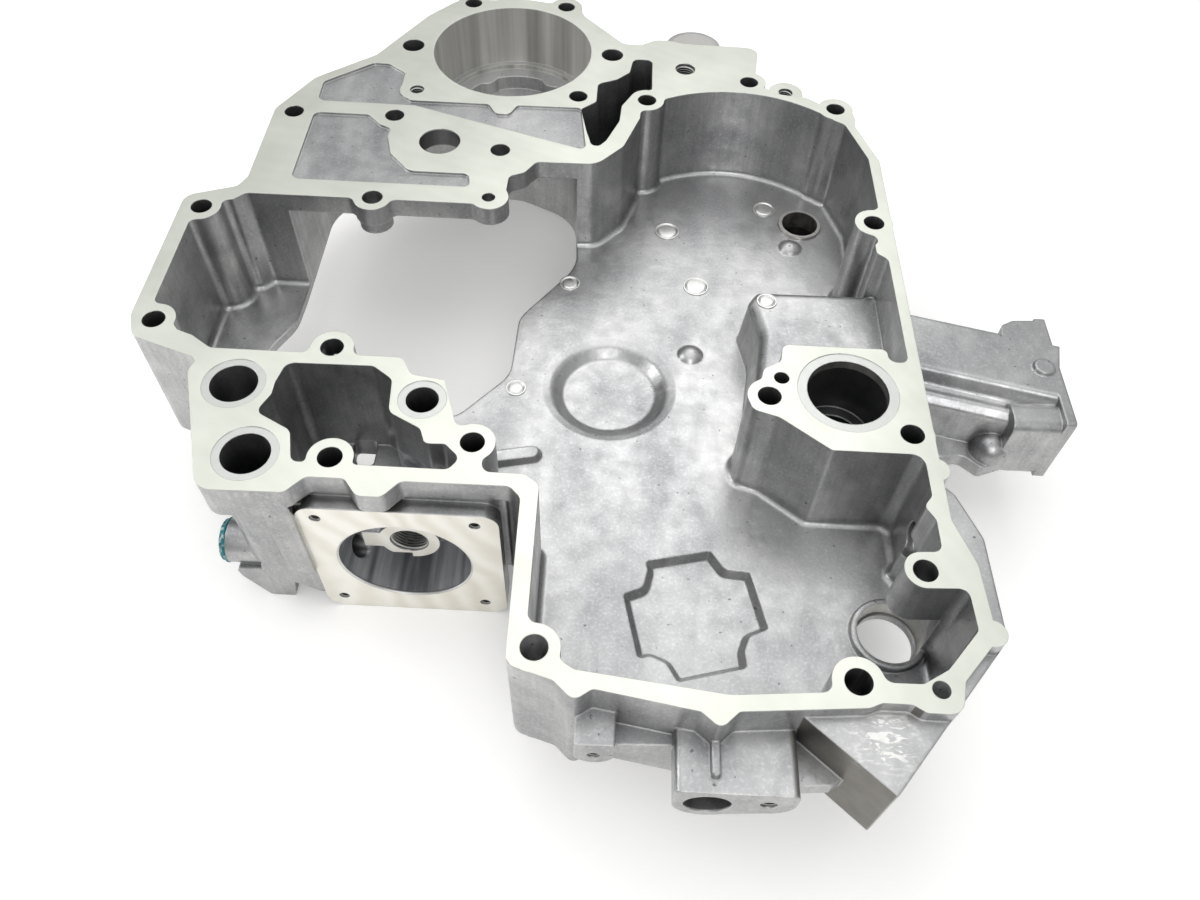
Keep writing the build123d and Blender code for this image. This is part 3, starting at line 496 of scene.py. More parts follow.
@dataclass(frozen=True)
class MilledFace:
    """A milled joint face: pale and nearly even, with faint arcs left by the face cutter.

    The arcs show more on the flanges that face the front, and those are painted a brighter,
    warmer white, as painted light.
    """

    pale: str = "DFE1D7"
    shade: str = "CFD1C7"
    # Brighter tones for the faces square to Y, which paint in light
    flange: str = "F3F1EA"
    flange_shade: str = "E4E0D5"
    pitch: float = 9.0
    cutter_offset: tuple[float, float, float] = (210.0, 550.0, 120.0)
    wobble: float = 16.0
    wobble_detail: float = 4.0
    wobble_scale: float = 0.3
    patch: Pattern = Pattern(38.0, 3.0)
    boldness: Ramp = Ramp(0.5, 1.0, 0.05, 0.36)
    contrast: Ramp = Ramp(0.25, 0.7)

    def colour(self, surface: Surface) -> Socket:
        """Draw the milled faces.

        Args:
            surface: where on the case a point lies.

        Returns:
            The faces' colour.
        """
        tree = surface.tree
        # The arcs' centre lies well outside the case, as on the path of a wide cutter
        away = add_node(
            tree, "ShaderNodeMapping",
            {"Vector": surface.spot, "Location": Vector(self.cutter_offset) * MM},
        )
        arcs = add_node(
            tree, "ShaderNodeTexWave",
            {"Vector": away.outputs[0], "Scale": WAVE_PERIOD / (self.pitch * MM),
             "Distortion": self.wobble, "Detail": self.wobble_detail,
             "Detail Scale": self.wobble_scale},
            wave_type="RINGS", rings_direction="SPHERICAL",
        )
        patch = add_node(tree, "ShaderNodeTexNoise", self.patch.over(surface.spot))
        bold = add_node(tree, "ShaderNodeMapRange", self.boldness.of(surface.sideways))
        blend = add_node(
            tree, "ShaderNodeMix",
            {"Factor": bold.outputs[0], "A": patch.outputs["Fac"], "B": arcs.outputs["Fac"]},
            data_type="FLOAT",
        )
        spread = add_node(tree, "ShaderNodeMapRange", self.contrast.of(blend.outputs[0]))
        tones = []
        for dark, pale in ((self.shade, self.pale), (self.flange_shade, self.flange)):
            tones.append(
                add_node(
                    tree, "ShaderNodeMix",
                    {"Factor": spread.outputs[0], "A": linear(dark), "B": linear(pale)},
                    data_type="RGBA",
                ).outputs["Result"]
            )
        # Faces square to Y take the brighter tones: painted light
        return add_node(
            tree, "ShaderNodeMix",
            {"Factor": surface.sideways, "A": tones[0], "B": tones[1]},
            data_type="RGBA",
        ).outputs["Result"]


@dataclass(frozen=True)
class BoreWall:
    """The wall of a bore, with soft pale and dark streaks that run along its axis: painted
    reflections, and in the filter bowl partly cast streaks.
    """

    axis: Axis
    dark: str
    pale: str
    width: float
    detail: float = 4.0
    roughness: float = 0.55
    stretch: float = 0.03
    contrast: Ramp = Ramp(0.36, 0.62)

    def colour(self, surface: Surface) -> Socket:
        """Draw the wall.

        Args:
            surface: where on the case a point lies.

        Returns:
            The wall's colour.
        """
        tree = surface.tree
        scale = [1.0, 1.0, 1.0]
        scale[self.axis.value] = self.stretch
        stretched = add_node(tree, "ShaderNodeMapping", {"Vector": surface.spot, "Scale": scale})
        # Painted reflections: pale and dark streaks drawn out along the axis
        streaks = add_node(
            tree, "ShaderNodeTexNoise",
            Pattern(self.width, self.detail, self.roughness).over(stretched.outputs[0]),
        )
        shade = add_node(tree, "ShaderNodeMapRange", self.contrast.of(streaks.outputs["Fac"]))
        return add_node(
            tree, "ShaderNodeMix",
            {"Factor": shade.outputs[0], "A": linear(self.dark), "B": linear(self.pale)},
            data_type="RGBA",
        ).outputs["Result"]


@dataclass(frozen=True)
class CornerBlock:
    """The marks on the corner block: its sawn side, and the scratches on its top."""

    sawn: str = "77746E"
    sawn_way: tuple[float, float, float] = (-0.665, -0.747, 0.0)
    sawn_at: tuple[float, float, float] = (163.0, -434.0, -29.0)
    sawn_reach: float = 45.0
    sawn_square: float = 0.97
    scratched_at: tuple[float, float, float] = (176.5, -427.0, -7.0)
    scratched_reach: float = 15.0
    scratched_core: float = 0.5
    scratches: Pattern = Pattern(2.0, 2.0, 0.5, 1.2)
    scratch_turn: float = 25.0
    scratch_stretch: tuple[float, float, float] = (0.35, 1.0, 1.0)
    scratch_tone: Ramp = Ramp(0.51, 0.59)

    @staticmethod
    def distance(surface: Surface, place: tuple[float, float, float]) -> Socket:
        """Return the distance from a place that is given in millimetres."""
        feeds = {0: surface.spot, 1: Vector(place) * MM}
        away = add_node(surface.tree, "ShaderNodeVectorMath", feeds, operation="DISTANCE")
        return away.outputs["Value"]

    def sawn_mask(self, surface: Surface) -> Socket:
        """Find the sawn side.

        Args:
            surface: where on the case a point lies.

        Returns:
            A mask that is 1 on the sawn side and 0 elsewhere.
        """
        tree = surface.tree
        facing = add_node(
            tree, "ShaderNodeVectorMath", {0: surface.normal, 1: self.sawn_way},
            operation="DOT_PRODUCT",
        )
        square = add_node(
            tree, "ShaderNodeMath", {0: facing.outputs["Value"], 1: self.sawn_square},
            operation="GREATER_THAN",
        )
        near = add_node(
            tree, "ShaderNodeMath",
            {0: self.distance(surface, self.sawn_at), 1: self.sawn_reach * MM},
            operation="LESS_THAN",
        )
        return add_node(
            tree, "ShaderNodeMath", {0: square.outputs[0], 1: near.outputs[0]},
            operation="MULTIPLY",
        ).outputs[0]

    def scratch_mask(self, surface: Surface) -> Socket:
        """Draw the scratches, which thin out towards the edge of the place they lie in.

        Args:
            surface: where on the case a point lies.

        Returns:
            A mask that is 1 in the scratches and 0 elsewhere.
        """
        tree = surface.tree
        reach = self.scratched_reach * MM
        fading = Ramp(reach, self.scratched_core * reach)
        near = add_node(
            tree, "ShaderNodeMapRange", fading.of(self.distance(surface, self.scratched_at))
        )
        turned = add_node(
            tree, "ShaderNodeMapping",
            {"Vector": surface.spot, "Rotation": (0.0, 0.0, math.radians(self.scratch_turn)),
             "Scale": self.scratch_stretch},
        )
        strokes = add_node(tree, "ShaderNodeTexNoise", self.scratches.over(turned.outputs[0]))
        cut = add_node(tree, "ShaderNodeMapRange", self.scratch_tone.of(strokes.outputs["Fac"]))
        return add_node(
            tree, "ShaderNodeMath", {0: near.outputs[0], 1: cut.outputs[0]}, operation="MULTIPLY"
        ).outputs[0]


@dataclass(frozen=True)
class DieCastAluminium:
    """Aluminium pressure die casting, as it leaves the die and after machining.

    Each kind of surface has its own finish. Edges are a little brighter, partly where handling
    has rubbed them and partly as a painted highlight. Painted shade darkens what lies deep in the
    holes, passages and corners, and two bores get a dark stain that is partly painted shade.
    """

    name: str = "aluminium_die_casting"
    plan: MachiningPlan = MachiningPlan()
    skin: CastSkin = CastSkin()
    milled: MilledFace = MilledFace()
    # The turned bores' streaks are painted reflections
    turned: BoreWall = BoreWall(Axis.Z, "A5A4A0", "DAD9D4", 13.0)
    # The filter bowl's streaks are partly cast streaks and partly painted reflection
    bowl: BoreWall = BoreWall(Axis.Y, "75767A", "C9CACD", 8.0)
    block: CornerBlock = CornerBlock()
    seat: str = "C8CAC6"
    # A dark stain in the water neck and the shaft bore, partly real stain and partly painted
    # shade
    stained_and_shaded: str = "4E4E50"
    stain_and_shade_amount: float = 0.8
    # The bright colour of the edges, part wear and part painted highlight, and of the scratches
    bright: str = "E0E0DC"
    # The dark grey of the painted shade in recesses
    painted_recess_shade: str = "3E3E40"
    cast_edge: float = 1.4
    milled_edge: float = 0.35
    samples: int = 6
    # How much the edges brighten, as wear and as a painted highlight
    wear_and_highlight: Ramp = Ramp(0.98, 0.85, 0.0, 0.45)
    # How far the painted shade in recesses reaches, and how strong it is
    recess: float = 30.0
    sheltered: tuple[float, float] = (0.5, 0.08)
    recess_shade_amount: Ramp = Ramp(0.0, 1.0, 0.85, 0.1)
    metallic: Ramp = Ramp(0.0, 1.0, 0.9, 0.5)
    ripple: Pattern = Pattern(8.0, 3.0)
    pits: Pattern = Pattern(1.5, 3.0)
    satin: Ramp = Ramp(0.35, 0.65, 0.28, 0.42)
    machined_roughness: float = 0.4
    ripple_weight: float = 4.0
    tool_pitch: float = 1.3
    tool_wobble: float = 0.4
    relief: Ramp = Ramp(0.0, 1.0, 0.55, 0.08)
    relief_depth: float = 0.08

    def build(self) -> bpy.types.Material:
        """Make the material.

        Returns:
            The material.
        """
        material, tree, shader = start_material(self.name)
        surface = self.plan.survey(tree)
        rounding = add_node(
            tree, "ShaderNodeMapRange",
            Ramp(0.0, 1.0, self.cast_edge * MM, self.milled_edge * MM).of(surface.machined),
        )
        soft = add_node(
            tree, "ShaderNodeBevel", {"Radius": rounding.outputs[0]}, samples=self.samples
        )
        colour = self.shaded_in_recesses(surface, self.worn_and_highlighted(surface, soft))
        tree.links.new(colour, shader.inputs["Base Color"])
        # Bright bare metal that only faces its own walls scatters more of the light it gets
        metallic = add_node(tree, "ShaderNodeMapRange", self.metallic.of(surface.clean))
        tree.links.new(metallic.outputs[0], shader.inputs["Metallic"])
        self.texture(surface, soft, shader)
        return material

    def finishes(self, surface: Surface) -> Socket:
        """Lay each finish over the one before, where its mask is 1.

        Args:
            surface: where on the case a point lies.

        Returns:
            The colour of them all.
        """
        tree = surface.tree
        # The water neck and the shaft bore are darkened, partly as stain and partly as painted
        # shade
        stain_and_shade_amount = add_node(
            tree, "ShaderNodeMath", {0: surface.stained_and_shaded, 1: self.stain_and_shade_amount}, operation="MULTIPLY"
        )
        layers = (
            (stain_and_shade_amount.outputs[0], linear(self.stained_and_shaded)),
            (self.block.sawn_mask(surface), linear(self.block.sawn)),
            (surface.filter_bowl, self.bowl.colour(surface)),
            (surface.flats, self.milled.colour(surface)),
            (surface.turned, self.turned.colour(surface)),
            (surface.seats, linear(self.seat)),
        )
        skin = self.skin.colour(surface)
        for mask, colour in layers:
            skin = add_node(
                tree, "ShaderNodeMix", {"Factor": mask, "A": skin, "B": colour},
                data_type="RGBA",
            ).outputs["Result"]
        return skin

    def worn_and_highlighted(self, surface: Surface, soft: Node) -> Socket:
        """Brighten the edges, partly as wear and partly as a painted highlight, and the
        scratches.

        Args:
            surface: where on the case a point lies.
            soft: the node that gives the rounded normal.

        Returns:
            The finishes' colour with the bright marks over it.
        """
        tree = surface.tree
        # An edge is where the rounded normal leaves the true one; it gets wear and a painted
        # highlight
        true = add_node(tree, "ShaderNodeNewGeometry")
        agreement = add_node(
            tree, "ShaderNodeVectorMath",
            {0: soft.outputs[0], 1: true.outputs["Normal"]}, operation="DOT_PRODUCT",
        )
        edge = add_node(tree, "ShaderNodeMapRange", self.wear_and_highlight.of(agreement.outputs["Value"]))
        bright = any_of(tree, [edge.outputs[0], self.block.scratch_mask(surface)])
        return add_node(
            tree, "ShaderNodeMix",
            {"Factor": bright, "A": self.finishes(surface), "B": linear(self.bright)},
            data_type="RGBA",
        ).outputs["Result"]

    def shaded_in_recesses(self, surface: Surface, unshaded: Socket) -> Socket:
        """Darken a colour with painted shade deep in the holes and corners, but only a little in
        the lightly shaded ones.

        Args:
            surface: where on the case a point lies.
            unshaded: the colour before the painted shade.

        Returns:
            The colour with the painted shade.
        """
        tree = surface.tree
        # Painted shade: where the occlusion node finds walls close by, the colour darkens towards
        # a dark grey
        shelter = add_node(
            tree, "ShaderNodeAmbientOcclusion", {"Distance": self.recess * MM},
            samples=self.samples,
        )
        most = add_node(tree, "ShaderNodeMapRange", self.recess_shade_amount.of(surface.clean))
        recess_shade_amount = add_node(
            tree, "ShaderNodeMapRange",
            {"Value": shelter.outputs["AO"], "From Min": self.sheltered[0],
             "From Max": self.sheltered[1], "To Min": 0.0, "To Max": most.outputs[0]},
        )
        return add_node(
            tree, "ShaderNodeMix",
            {"Factor": recess_shade_amount.outputs[0], "A": unshaded, "B": linear(self.painted_recess_shade)},
            data_type="RGBA",
        ).outputs["Result"]

    def texture(self, surface: Surface, soft: Node, shader: Node) -> None:
        """Link the roughness and the relief to the shader.

        Args:
            surface: where on the case a point lies.
            soft: the node that gives the rounded normal.
            shader: the Principled shader.
        """
        tree = surface.tree
        ripple = add_node(tree, "ShaderNodeTexNoise", self.ripple.over(surface.spot))
        pits = add_node(tree, "ShaderNodeTexNoise", self.pits.over(surface.spot))
        satin = add_node(tree, "ShaderNodeMapRange", self.satin.of(ripple.outputs["Fac"]))
        roughness = add_node(
            tree, "ShaderNodeMix",
            {"Factor": surface.machined, "A": satin.outputs[0], "B": self.machined_roughness},
            data_type="FLOAT",
        )
        tree.links.new(roughness.outputs[0], shader.inputs["Roughness"])
        grain = add_node(
            tree, "ShaderNodeMath",
            {0: ripple.outputs["Fac"], 1: self.ripple_weight, 2: pits.outputs["Fac"]},
            operation="MULTIPLY_ADD",
        )
        # Tool lines round the bores, drawn coarser than they are so that they show
        lines = add_node(
            tree, "ShaderNodeTexWave",
            {"Vector": surface.spot, "Scale": WAVE_PERIOD / (self.tool_pitch * MM),
             "Distortion": self.tool_wobble},
            bands_direction="Z",
        )
        height = add_node(
            tree, "ShaderNodeMix",
            {"Factor": surface.turned, "A": grain.outputs[0], "B": lines.outputs["Fac"]},
            data_type="FLOAT",
        )
        strength = add_node(tree, "ShaderNodeMapRange", self.relief.of(surface.flats))
        bump = add_node(
            tree, "ShaderNodeBump",
            {"Height": height.outputs[0], "Strength": strength.outputs[0],
             "Distance": self.relief_depth * MM, "Normal": soft.outputs[0]},
        )
        tree.links.new(bump.outputs[0], shader.inputs["Normal"])


@dataclass(frozen=True)
class BrightMetal:
    """Turned, pressed or burnished metal: bright, with an uneven fine grain."""

    name: str
    colour: str = "D2D0CC"
    roughness: float = 0.34
    smoother: float = 0.06
    rougher: float = 0.12
    grain: Pattern = Pattern(3.85, 4.0)

    def build(self) -> bpy.types.Material:
        """Make the material.

        Returns:
            The material.
        """
        material, tree, shader = start_material(self.name)
        spot = add_node(tree, "ShaderNodeTexCoord")
        noise = add_node(tree, "ShaderNodeTexNoise", self.grain.over(spot.outputs["Object"]))
        gloss = Ramp(0.3, 0.7, self.roughness - self.smoother, self.roughness + self.rougher)
        shade = add_node(tree, "ShaderNodeMapRange", gloss.of(noise.outputs["Fac"]))
        tree.links.new(shade.outputs[0], shader.inputs["Roughness"])
        shader.inputs["Base Color"].default_value = linear(self.colour)
        shader.inputs["Metallic"].default_value = 1.0
        return material


@dataclass(frozen=True)
class TappedAluminium:
    """Freshly cut aluminium of a screw thread, fairly smooth, with painted shade between its
    crests.
    """

    name: str = "tapped_aluminium"
    crest: str = "A8A8A4"
    # The dark grey of the painted shade between the crests
    root: str = "2E2E2E"
    depth: float = 1.2
    samples: int = 6
    shade: Ramp = Ramp(0.45, 0.8)
    metallic: float = 0.9
    roughness: float = 0.32

    def build(self) -> bpy.types.Material:
        """Make the material.

        Returns:
            The material.
        """
        material, tree, shader = start_material(self.name)
        # Painted shade: the occlusion node darkens the thread between its crests
        shelter = add_node(
            tree, "ShaderNodeAmbientOcclusion", {"Distance": self.depth * MM},
            samples=self.samples,
        )
        shade = add_node(tree, "ShaderNodeMapRange", self.shade.of(shelter.outputs["AO"]))
        colour = add_node(
            tree, "ShaderNodeMix",
            {"Factor": shade.outputs[0], "A": linear(self.root), "B": linear(self.crest)},
            data_type="RGBA",
        )
        tree.links.new(colour.outputs["Result"], shader.inputs["Base Color"])
        shader.inputs["Metallic"].default_value = self.metallic
        shader.inputs["Roughness"].default_value = self.roughness
        return material


@dataclass(frozen=True)
class ThreadSealant:
    """Dried teal thread sealant smeared over a steel plug, rubbed thin in patches."""

    name: str = "teal_thread_sealant"
    wet: str = "1F6F78"
    bare: str = "A9C4C2"
    patches: Pattern = Pattern(2.63, 5.0)
    worn: Ramp = Ramp(0.52, 0.66)
    roughness: float = 0.38
    metallic: float = 0.35

    def build(self) -> bpy.types.Material:
        """Make the material.

        Returns:
            The material.
        """
        material, tree, shader = start_material(self.name)
        spot = add_node(tree, "ShaderNodeTexCoord")
        noise = add_node(tree, "ShaderNodeTexNoise", self.patches.over(spot.outputs["Object"]))
        worn = add_node(tree, "ShaderNodeMapRange", self.worn.of(noise.outputs["Fac"]))
        colour = add_node(
            tree, "ShaderNodeMix",
            {"Factor": worn.outputs[0], "A": linear(self.wet), "B": linear(self.bare)},
            data_type="RGBA",
        )
        tree.links.new(colour.outputs["Result"], shader.inputs["Base Color"])
        shader.inputs["Roughness"].default_value = self.roughness
        shader.inputs["Metallic"].default_value = self.metallic
        return material


@dataclass
class GearCase:
    """The casting and the three small pieces pressed or screwed into it."""

    nodes: dict[str, bpy.types.Object]
    casting: DieCastAluminium = DieCastAluminium()
    bush: BrightMetal = BrightMetal("turned_bush_steel")
    cap: BrightMetal = BrightMetal("pressed_cap_steel", "C2C0BC", 0.36)
    sealant: ThreadSealant = ThreadSealant()

    def dress(self) -> None:
        """Give every CAD node its finish."""
        finishes = {
            "gear_case": self.casting,
            "floor_bush": self.bush,
            "top_plug": self.cap,
            "gallery_plug": self.sealant,
        }
        for name, finish in finishes.items():
            node = self.nodes[name]
            node.data.materials.clear()
            node.data.materials.append(finish.build())
            LOG.info("dressed %s", name)

    def finish_of(self, name: str) -> bpy.types.Material:
        """Return the material that a CAD node wears."""
        return self.nodes[name].data.materials[0]


def deselect() -> None:
    """Leave nothing selected, because operators act on all that is."""
    bpy.ops.object.select_all(action="DESELECT")


def select_faces(piece: bpy.types.Object, wanted: Callable[[Any], bool]) -> None:
    """Select the faces of a piece that is in edit mode.

    Args:
        piece: the piece in edit mode.
        wanted: says of each face whether it is selected.
    """
    mesh = bmesh.from_edit_mesh(piece.data)
    for face in mesh.faces:
        face.select_set(wanted(face))
    bmesh.update_edit_mesh(piece.data)


def settle(piece: bpy.types.Object, name: str, finish: bpy.types.Material) -> None:
    """Put a finished piece at the origin, smooth it, dress it and attach it to the root body.

    Args:
        piece: the finished piece, the only one selected.
        name: the piece's name.
        finish: the piece's material.
    """
    piece.name = name
    piece.data.name = name
    bpy.ops.object.transform_apply(location=True, rotation=True, scale=True)
    bpy.ops.object.shade_smooth_by_angle(angle=math.radians(SMOOTH_BELOW))
    piece.data.materials.clear()
    piece.data.materials.append(finish)
    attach(piece, "root")
    LOG.info("made %s", name)


@dataclass
class EjectorMarks:
    """Round witness marks that the die's ejector pins left, each a disc with a ring groove.

    A mark is given by the X and Y of its centre and its radius.
    """

    finish: bpy.types.Material
    floor_marks: tuple[tuple[float, float, float], ...] = (
        (162.7, -67.3, 7.0),
        (101.3, -92.3, 7.5),
        (118.3, -139.6, 7.5),
        (44.1, -142.1, 6.0),
        (19.9, -223.8, 5.5),
    )
    boss_mark: tuple[float, float, float] = (152.2, -181.5, 5.5)
    floor_level: float = -60.0
    boss_level: float = -28.0
    proud: float = 0.6
    sunk: float = 0.6
    rim: float = 0.9
    groove: float = 0.7
    disc_rise: float = 0.8
    edge: float = 0.18
    sides: int = 48

    def build(self) -> None:
        """Make every mark."""
        for index, mark in enumerate(self.floor_marks, start=1):
            self.mark(f"ejector_mark_{index}", mark, self.floor_level)
        self.mark("ejector_mark_boss", self.boss_mark, self.boss_level)

    def mark(self, name: str, mark: tuple[float, float, float], level: float) -> None:
        """Make one mark.

        Args:
            name: the piece's name.
            mark: its centre and outer radius.
            level: the level of the cast face that it stands on.
        """
        deselect()
        x, y, radius = mark
        middle = Vector((x, y, level + (self.proud - self.sunk) / 2))
        bpy.ops.mesh.primitive_cylinder_add(
            vertices=self.sides, radius=radius * MM, depth=(self.proud + self.sunk) * MM,
            location=middle * MM,
        )
        piece = bpy.context.object
        bpy.ops.object.mode_set(mode="EDIT")
        select_faces(piece, lambda face: face.normal.z > SQUARE)
        bpy.ops.mesh.inset(thickness=self.rim * MM, depth=0.0)
        bpy.ops.mesh.inset(thickness=self.groove * MM, depth=-self.proud * MM)
        bpy.ops.mesh.inset(thickness=self.groove * MM, depth=self.disc_rise * self.proud * MM)
        bpy.ops.object.mode_set(mode="OBJECT")
        bevel = piece.modifiers.new("edge", "BEVEL")
        bevel.width = self.edge * MM
        bevel.segments = 2
        bpy.ops.object.modifier_apply(modifier=bevel.name)
        settle(piece, name, self.finish)


@dataclass(frozen=True)
class TappedHole:
    """A tapped hole: its mouth and radius in millimetres, its thread and the way it runs in."""

    name: str
    mouth: tuple[float, float, float]
    inward: Axis
    radius: float
    pitch: float
    turns: int


@dataclass
class Threads:
    """Screw threads in the tapped holes, each a helical ridge standing in from the wall."""

    finish: bpy.types.Material
    holes: tuple[TappedHole, ...] = (
        TappedHole("thread_filter_boss", (-22.0, -322.0, -59.7), Axis.Y, 9.3, 1.5, 14),
        TappedHole("thread_sensor", (107.7, -11.5, 0.0), Axis.Z, 6.1, 1.5, 12),
        TappedHole("thread_lug", (170.0, -22.0, -6.0), Axis.Z, 4.3, 1.25, 12),
        TappedHole("thread_plate", (-52.9, -46.4, 0.0), Axis.Z, 4.2, 1.25, 8),
        TappedHole("thread_port_screw", (137.0, -446.0, -31.0), Axis.Y, 3.4, 1.25, 10),
        TappedHole("thread_small_boss", (70.0, -431.0, -29.0), Axis.Y, 2.6, 1.0, 8),
    )
    flange_centre: tuple[float, float, float] = (-22.0, -334.0, -59.7)
    flange_spacing: tuple[float, float] = (70.5, 72.0)
    flange_screw: tuple[float, float, int] = (2.6, 1.0, 8)
    steps: int = 28
    ridge: float = 0.52
    lead_in: float = 0.8

    def build(self) -> None:
        """Make the thread of every hole."""
        for hole in self.holes:
            self.thread(hole)
        x, y, z = self.flange_centre
        for column, across in (("left", -0.5), ("right", 0.5)):
            for row, up in (("low", -0.5), ("high", 0.5)):
                mouth = (x + across * self.flange_spacing[0], y, z + up * self.flange_spacing[1])
                self.thread(
                    TappedHole(f"thread_flange_{row}_{column}", mouth, Axis.Y, *self.flange_screw)
                )

    def thread(self, hole: TappedHole) -> None:
        """Make the thread of one hole from a three-sided ridge wound round its axis.

        Args:
            hole: the hole.
        """
        deselect()
        bpy.ops.mesh.primitive_circle_add(
            vertices=3, radius=self.ridge * hole.pitch * MM, fill_type="NOTHING",
            location=(hole.radius * MM, 0.0, 0.0), rotation=(math.pi / 2, -math.pi / 2, 0.0),
        )
        piece = bpy.context.object
        bpy.ops.object.transform_apply(location=True, rotation=True, scale=True)
        winding = piece.modifiers.new("winding", "SCREW")
        winding.steps = self.steps
        winding.render_steps = self.steps
        winding.screw_offset = hole.pitch * MM
        winding.iterations = hole.turns
        bpy.ops.object.modifier_apply(modifier=winding.name)
        bpy.ops.object.mode_set(mode="EDIT")
        bpy.ops.mesh.select_all(action="SELECT")
        bpy.ops.mesh.fill_holes(sides=3)
        bpy.ops.mesh.normals_make_consistent(inside=False)
        bpy.ops.object.mode_set(mode="OBJECT")
        # The ridge is wound along +Z, and is turned to run down a hole in Z or back one in Y
        down = hole.inward is Axis.Z
        piece.rotation_euler = (math.pi if down else -math.pi / 2, 0.0, 0.0)
        inward = Vector((0.0, 0.0, -1.0)) if down else Vector((0.0, 1.0, 0.0))
        piece.location = (Vector(hole.mouth) + inward * hole.pitch * self.lead_in) * MM
        settle(piece, hole.name, self.finish)


@dataclass
class BowlLip:
    """The narrow turned lip just inside the filter bowl's mouth, with both its edges broken."""

    finish: bpy.types.Material
    mouth: tuple[float, float, float] = (-22.0, -334.0, -59.7)
    bowl_radius: float = 31.8
    bedded: float = 0.4
    proud: float = 0.9
    depth: float = 1.6
    below_face: float = 0.05
    chamfer: float = 0.55
    chamfered_from: float = 60.0
    sides: int = 128

    def build(self) -> None:
        """Make the lip from an open tube that is thickened inwards."""
        deselect()
        middle = Vector(self.mouth) + Vector((0.0, self.below_face + self.depth / 2, 0.0))
        bpy.ops.mesh.primitive_cylinder_add(
            vertices=self.sides, radius=(self.bowl_radius + self.bedded) * MM,
            depth=self.depth * MM, end_fill_type="NOTHING",
            location=middle * MM, rotation=(math.pi / 2, 0.0, 0.0),
        )
        piece = bpy.context.object
        wall = piece.modifiers.new("wall", "SOLIDIFY")
        wall.thickness = (self.bedded + self.proud) * MM
        wall.offset = -1.0
        bpy.ops.object.modifier_apply(modifier=wall.name)
        corner = piece.modifiers.new("corner", "BEVEL")
        corner.width = self.chamfer * MM
        corner.segments = 1
        corner.limit_method = "ANGLE"
        corner.angle_limit = math.radians(self.chamfered_from)
        bpy.ops.object.modifier_apply(modifier=corner.name)
        settle(piece, "filter_bowl_lip", self.finish)


@dataclass
class SealantBeads:
    """Thread sealant squeezed out round the gallery plug in two uneven beads.

    A bead is given by its radius, its thickness and how far along X it lies from the centre.
    """

    finish: bpy.types.Material
    centre: tuple[float, float, float] = (-112.4, -317.3, -74.6)
    beads: tuple[tuple[float, float, float], ...] = ((10.4, 0.9, 0.0), (9.4, 0.8, -1.9))
    unevenness: float = 0.4
    lump: float = 4.5
    sides: int = 96
    section_sides: int = 14

    def build(self) -> None:
        """Make both beads."""
        clouds = bpy.data.textures.new("sealant_lumps", "CLOUDS")
        clouds.noise_scale = self.lump * MM
        for index, (radius, thickness, along) in enumerate(self.beads, start=1):
            deselect()
            place = Vector(self.centre) + Vector((along, 0.0, 0.0))
            bpy.ops.mesh.primitive_torus_add(
                location=place * MM, rotation=(0.0, math.pi / 2, 0.0),
                major_radius=radius * MM, minor_radius=thickness * MM,
                major_segments=self.sides, minor_segments=self.section_sides,
            )
            piece = bpy.context.object
            lumps = piece.modifiers.new("lumps", "DISPLACE")
            lumps.texture = clouds
            lumps.strength = self.unevenness * MM
            bpy.ops.object.modifier_apply(modifier=lumps.name)
            settle(piece, f"sealant_bead_{index}", self.finish)


@dataclass(frozen=True)
class Softbox:
    """A square soft lamp: where it hangs, what it is aimed at, its size and its power."""

    name: str
    place: tuple[float, float, float]
    target: tuple[float, float, float]
    size: float
    watts: float


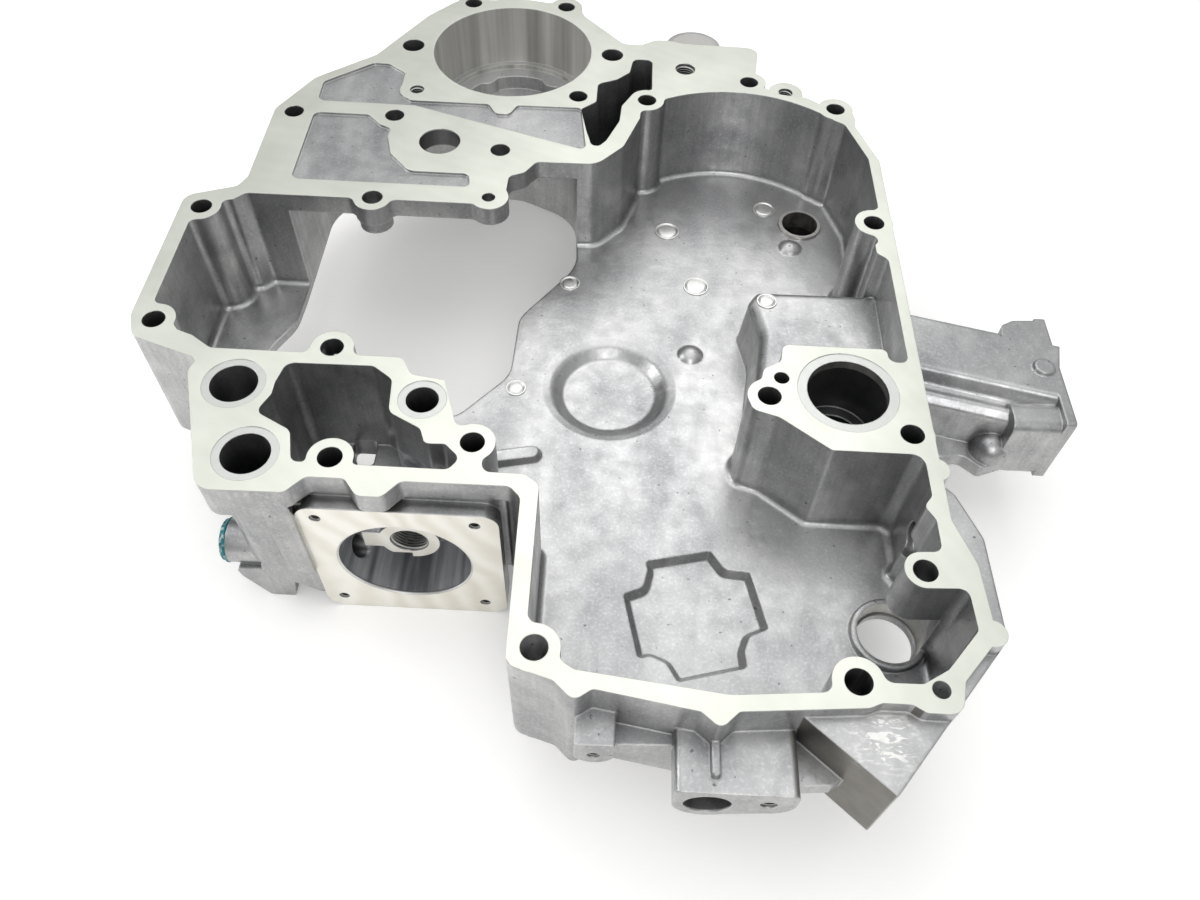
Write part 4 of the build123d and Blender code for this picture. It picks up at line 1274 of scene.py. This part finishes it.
@dataclass
class Studio:
    """Pale table, soft light and the camera at the photograph's viewpoint, in metres."""

    floor_level: float = -0.106
    table_middle: tuple[float, float] = (0.05, -0.2)
    table_size: float = 6.0
    table_white: str = "F4F3F1"
    table_roughness: float = 0.7
    table_glow: float = 0.22
    softboxes: tuple[Softbox, ...] = (
        Softbox("overhead_softbox", (0.0, 0.1, 1.3), (0.05, -0.2, -0.05), 1.5, 6.6),
        Softbox("rear_softbox", (0.2, 0.75, 1.0), (0.08, -0.2, -0.05), 0.8, 2.0),
        Softbox("front_softbox", (0.2, -1.3, 0.9), (0.08, -0.3, -0.05), 0.7, 4.2),
        Softbox("left_softbox", (-1.2, -0.1, 0.7), (0.05, -0.2, -0.05), 0.6, 4.0),
    )
    surround: str = "F4F5F6"
    surround_by_height: Ramp = Ramp(0.05, 0.72, 0.28, 0.78)
    camera_place: tuple[float, float, float] = (0.06698, -0.55633, 0.340)
    camera_right: tuple[float, float, float] = (0.99878, 0.04011, 0.02878)
    camera_up: tuple[float, float, float] = (-0.04937, 0.80483, 0.59145)
    lens: float = 28.97
    sensor: float = 36.0
    nearest: float = 0.01

    def build(self) -> None:
        """Make the table, the lamps, the world and the camera."""
        self.table()
        self.lamps()
        self.world()
        self.camera()

    def table(self) -> None:
        """Make the white table that the case lies on."""
        deselect()
        bpy.ops.mesh.primitive_plane_add(
            size=self.table_size, location=(*self.table_middle, self.floor_level)
        )
        floor = bpy.context.object
        floor.name = "table_top"
        material, tree, shader = start_material("white_table")
        shader.inputs["Base Color"].default_value = linear(self.table_white)
        shader.inputs["Roughness"].default_value = self.table_roughness
        # To the camera and in reflections the table is a little whiter than the lamps make it
        path = add_node(tree, "ShaderNodeLightPath")
        seen = any_of(tree, [path.outputs["Is Camera Ray"], path.outputs["Is Glossy Ray"]])
        glow = add_node(
            tree, "ShaderNodeMath", {0: seen, 1: self.table_glow}, operation="MULTIPLY"
        )
        shader.inputs["Emission Color"].default_value = linear("FFFFFF")
        tree.links.new(glow.outputs[0], shader.inputs["Emission Strength"])
        floor.data.materials.append(material)
        floor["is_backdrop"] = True

    def lamps(self) -> None:
        """Make the soft overhead light and weaker ones behind, in front and to the left."""
        for softbox in self.softboxes:
            data = bpy.data.lights.new(softbox.name, "AREA")
            data.shape = "SQUARE"
            data.size = softbox.size
            data.energy = softbox.watts
            lamp = bpy.data.objects.new(softbox.name, data)
            bpy.context.scene.collection.objects.link(lamp)
            lamp.location = softbox.place
            aim = Vector(softbox.target) - Vector(softbox.place)
            lamp.rotation_euler = aim.to_track_quat("-Z", "Y").to_euler()

    def world(self) -> None:
        """Make a pale surround that is brightest overhead and dimmer near the horizon."""
        world = bpy.data.worlds.new("pale_surround")
        bpy.context.scene.world = world
        world.use_nodes = True
        tree = world.node_tree
        shade = tree.nodes["Background"]
        sky = add_node(tree, "ShaderNodeTexCoord")
        height = add_node(tree, "ShaderNodeSeparateXYZ", {0: sky.outputs["Generated"]})
        strength = add_node(
            tree, "ShaderNodeMapRange", self.surround_by_height.of(height.outputs[2])
        )
        shade.inputs["Color"].default_value = linear(self.surround)
        tree.links.new(strength.outputs[0], shade.inputs["Strength"])

    def camera(self) -> None:
        """Set the camera where the photograph was taken from."""
        data = bpy.data.cameras.new("photo_view")
        data.sensor_width = self.sensor
        data.lens = self.lens
        data.clip_start = self.nearest
        camera = bpy.data.objects.new("photo_view", data)
        bpy.context.scene.collection.objects.link(camera)
        right = Vector(self.camera_right)
        up = Vector(self.camera_up)
        stance = Matrix((right, up, right.cross(up))).transposed().to_4x4()
        stance.translation = Vector(self.camera_place)
        camera.matrix_world = stance
        bpy.context.scene.camera = camera


def plain(box: Any) -> list[list[float]]:
    """Turn a pair of corners into plain lists of numbers."""
    return [[float(value) for value in corner] for corner in box]


def main() -> list[list[float]]:
    """Build the scene in order.

    Returns:
        The CAD model's box, as its two corners.
    """
    logging.basicConfig(level=logging.INFO, format="%(message)s")
    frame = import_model()
    cad_box = plain(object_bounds())
    bpy.context.scene.view_settings.view_transform = "Standard"
    case = GearCase(frame["nodes"])
    case.dress()
    burnished = BrightMetal("burnished_aluminium", "DADAD7", 0.32).build()
    EjectorMarks(burnished).build()
    BowlLip(burnished).build()
    Threads(TappedAluminium().build()).build()
    SealantBeads(case.finish_of("gallery_plug")).build()
    Studio().build()
    return cad_box


if __name__ == "__main__":
    CAD_BOX = main()
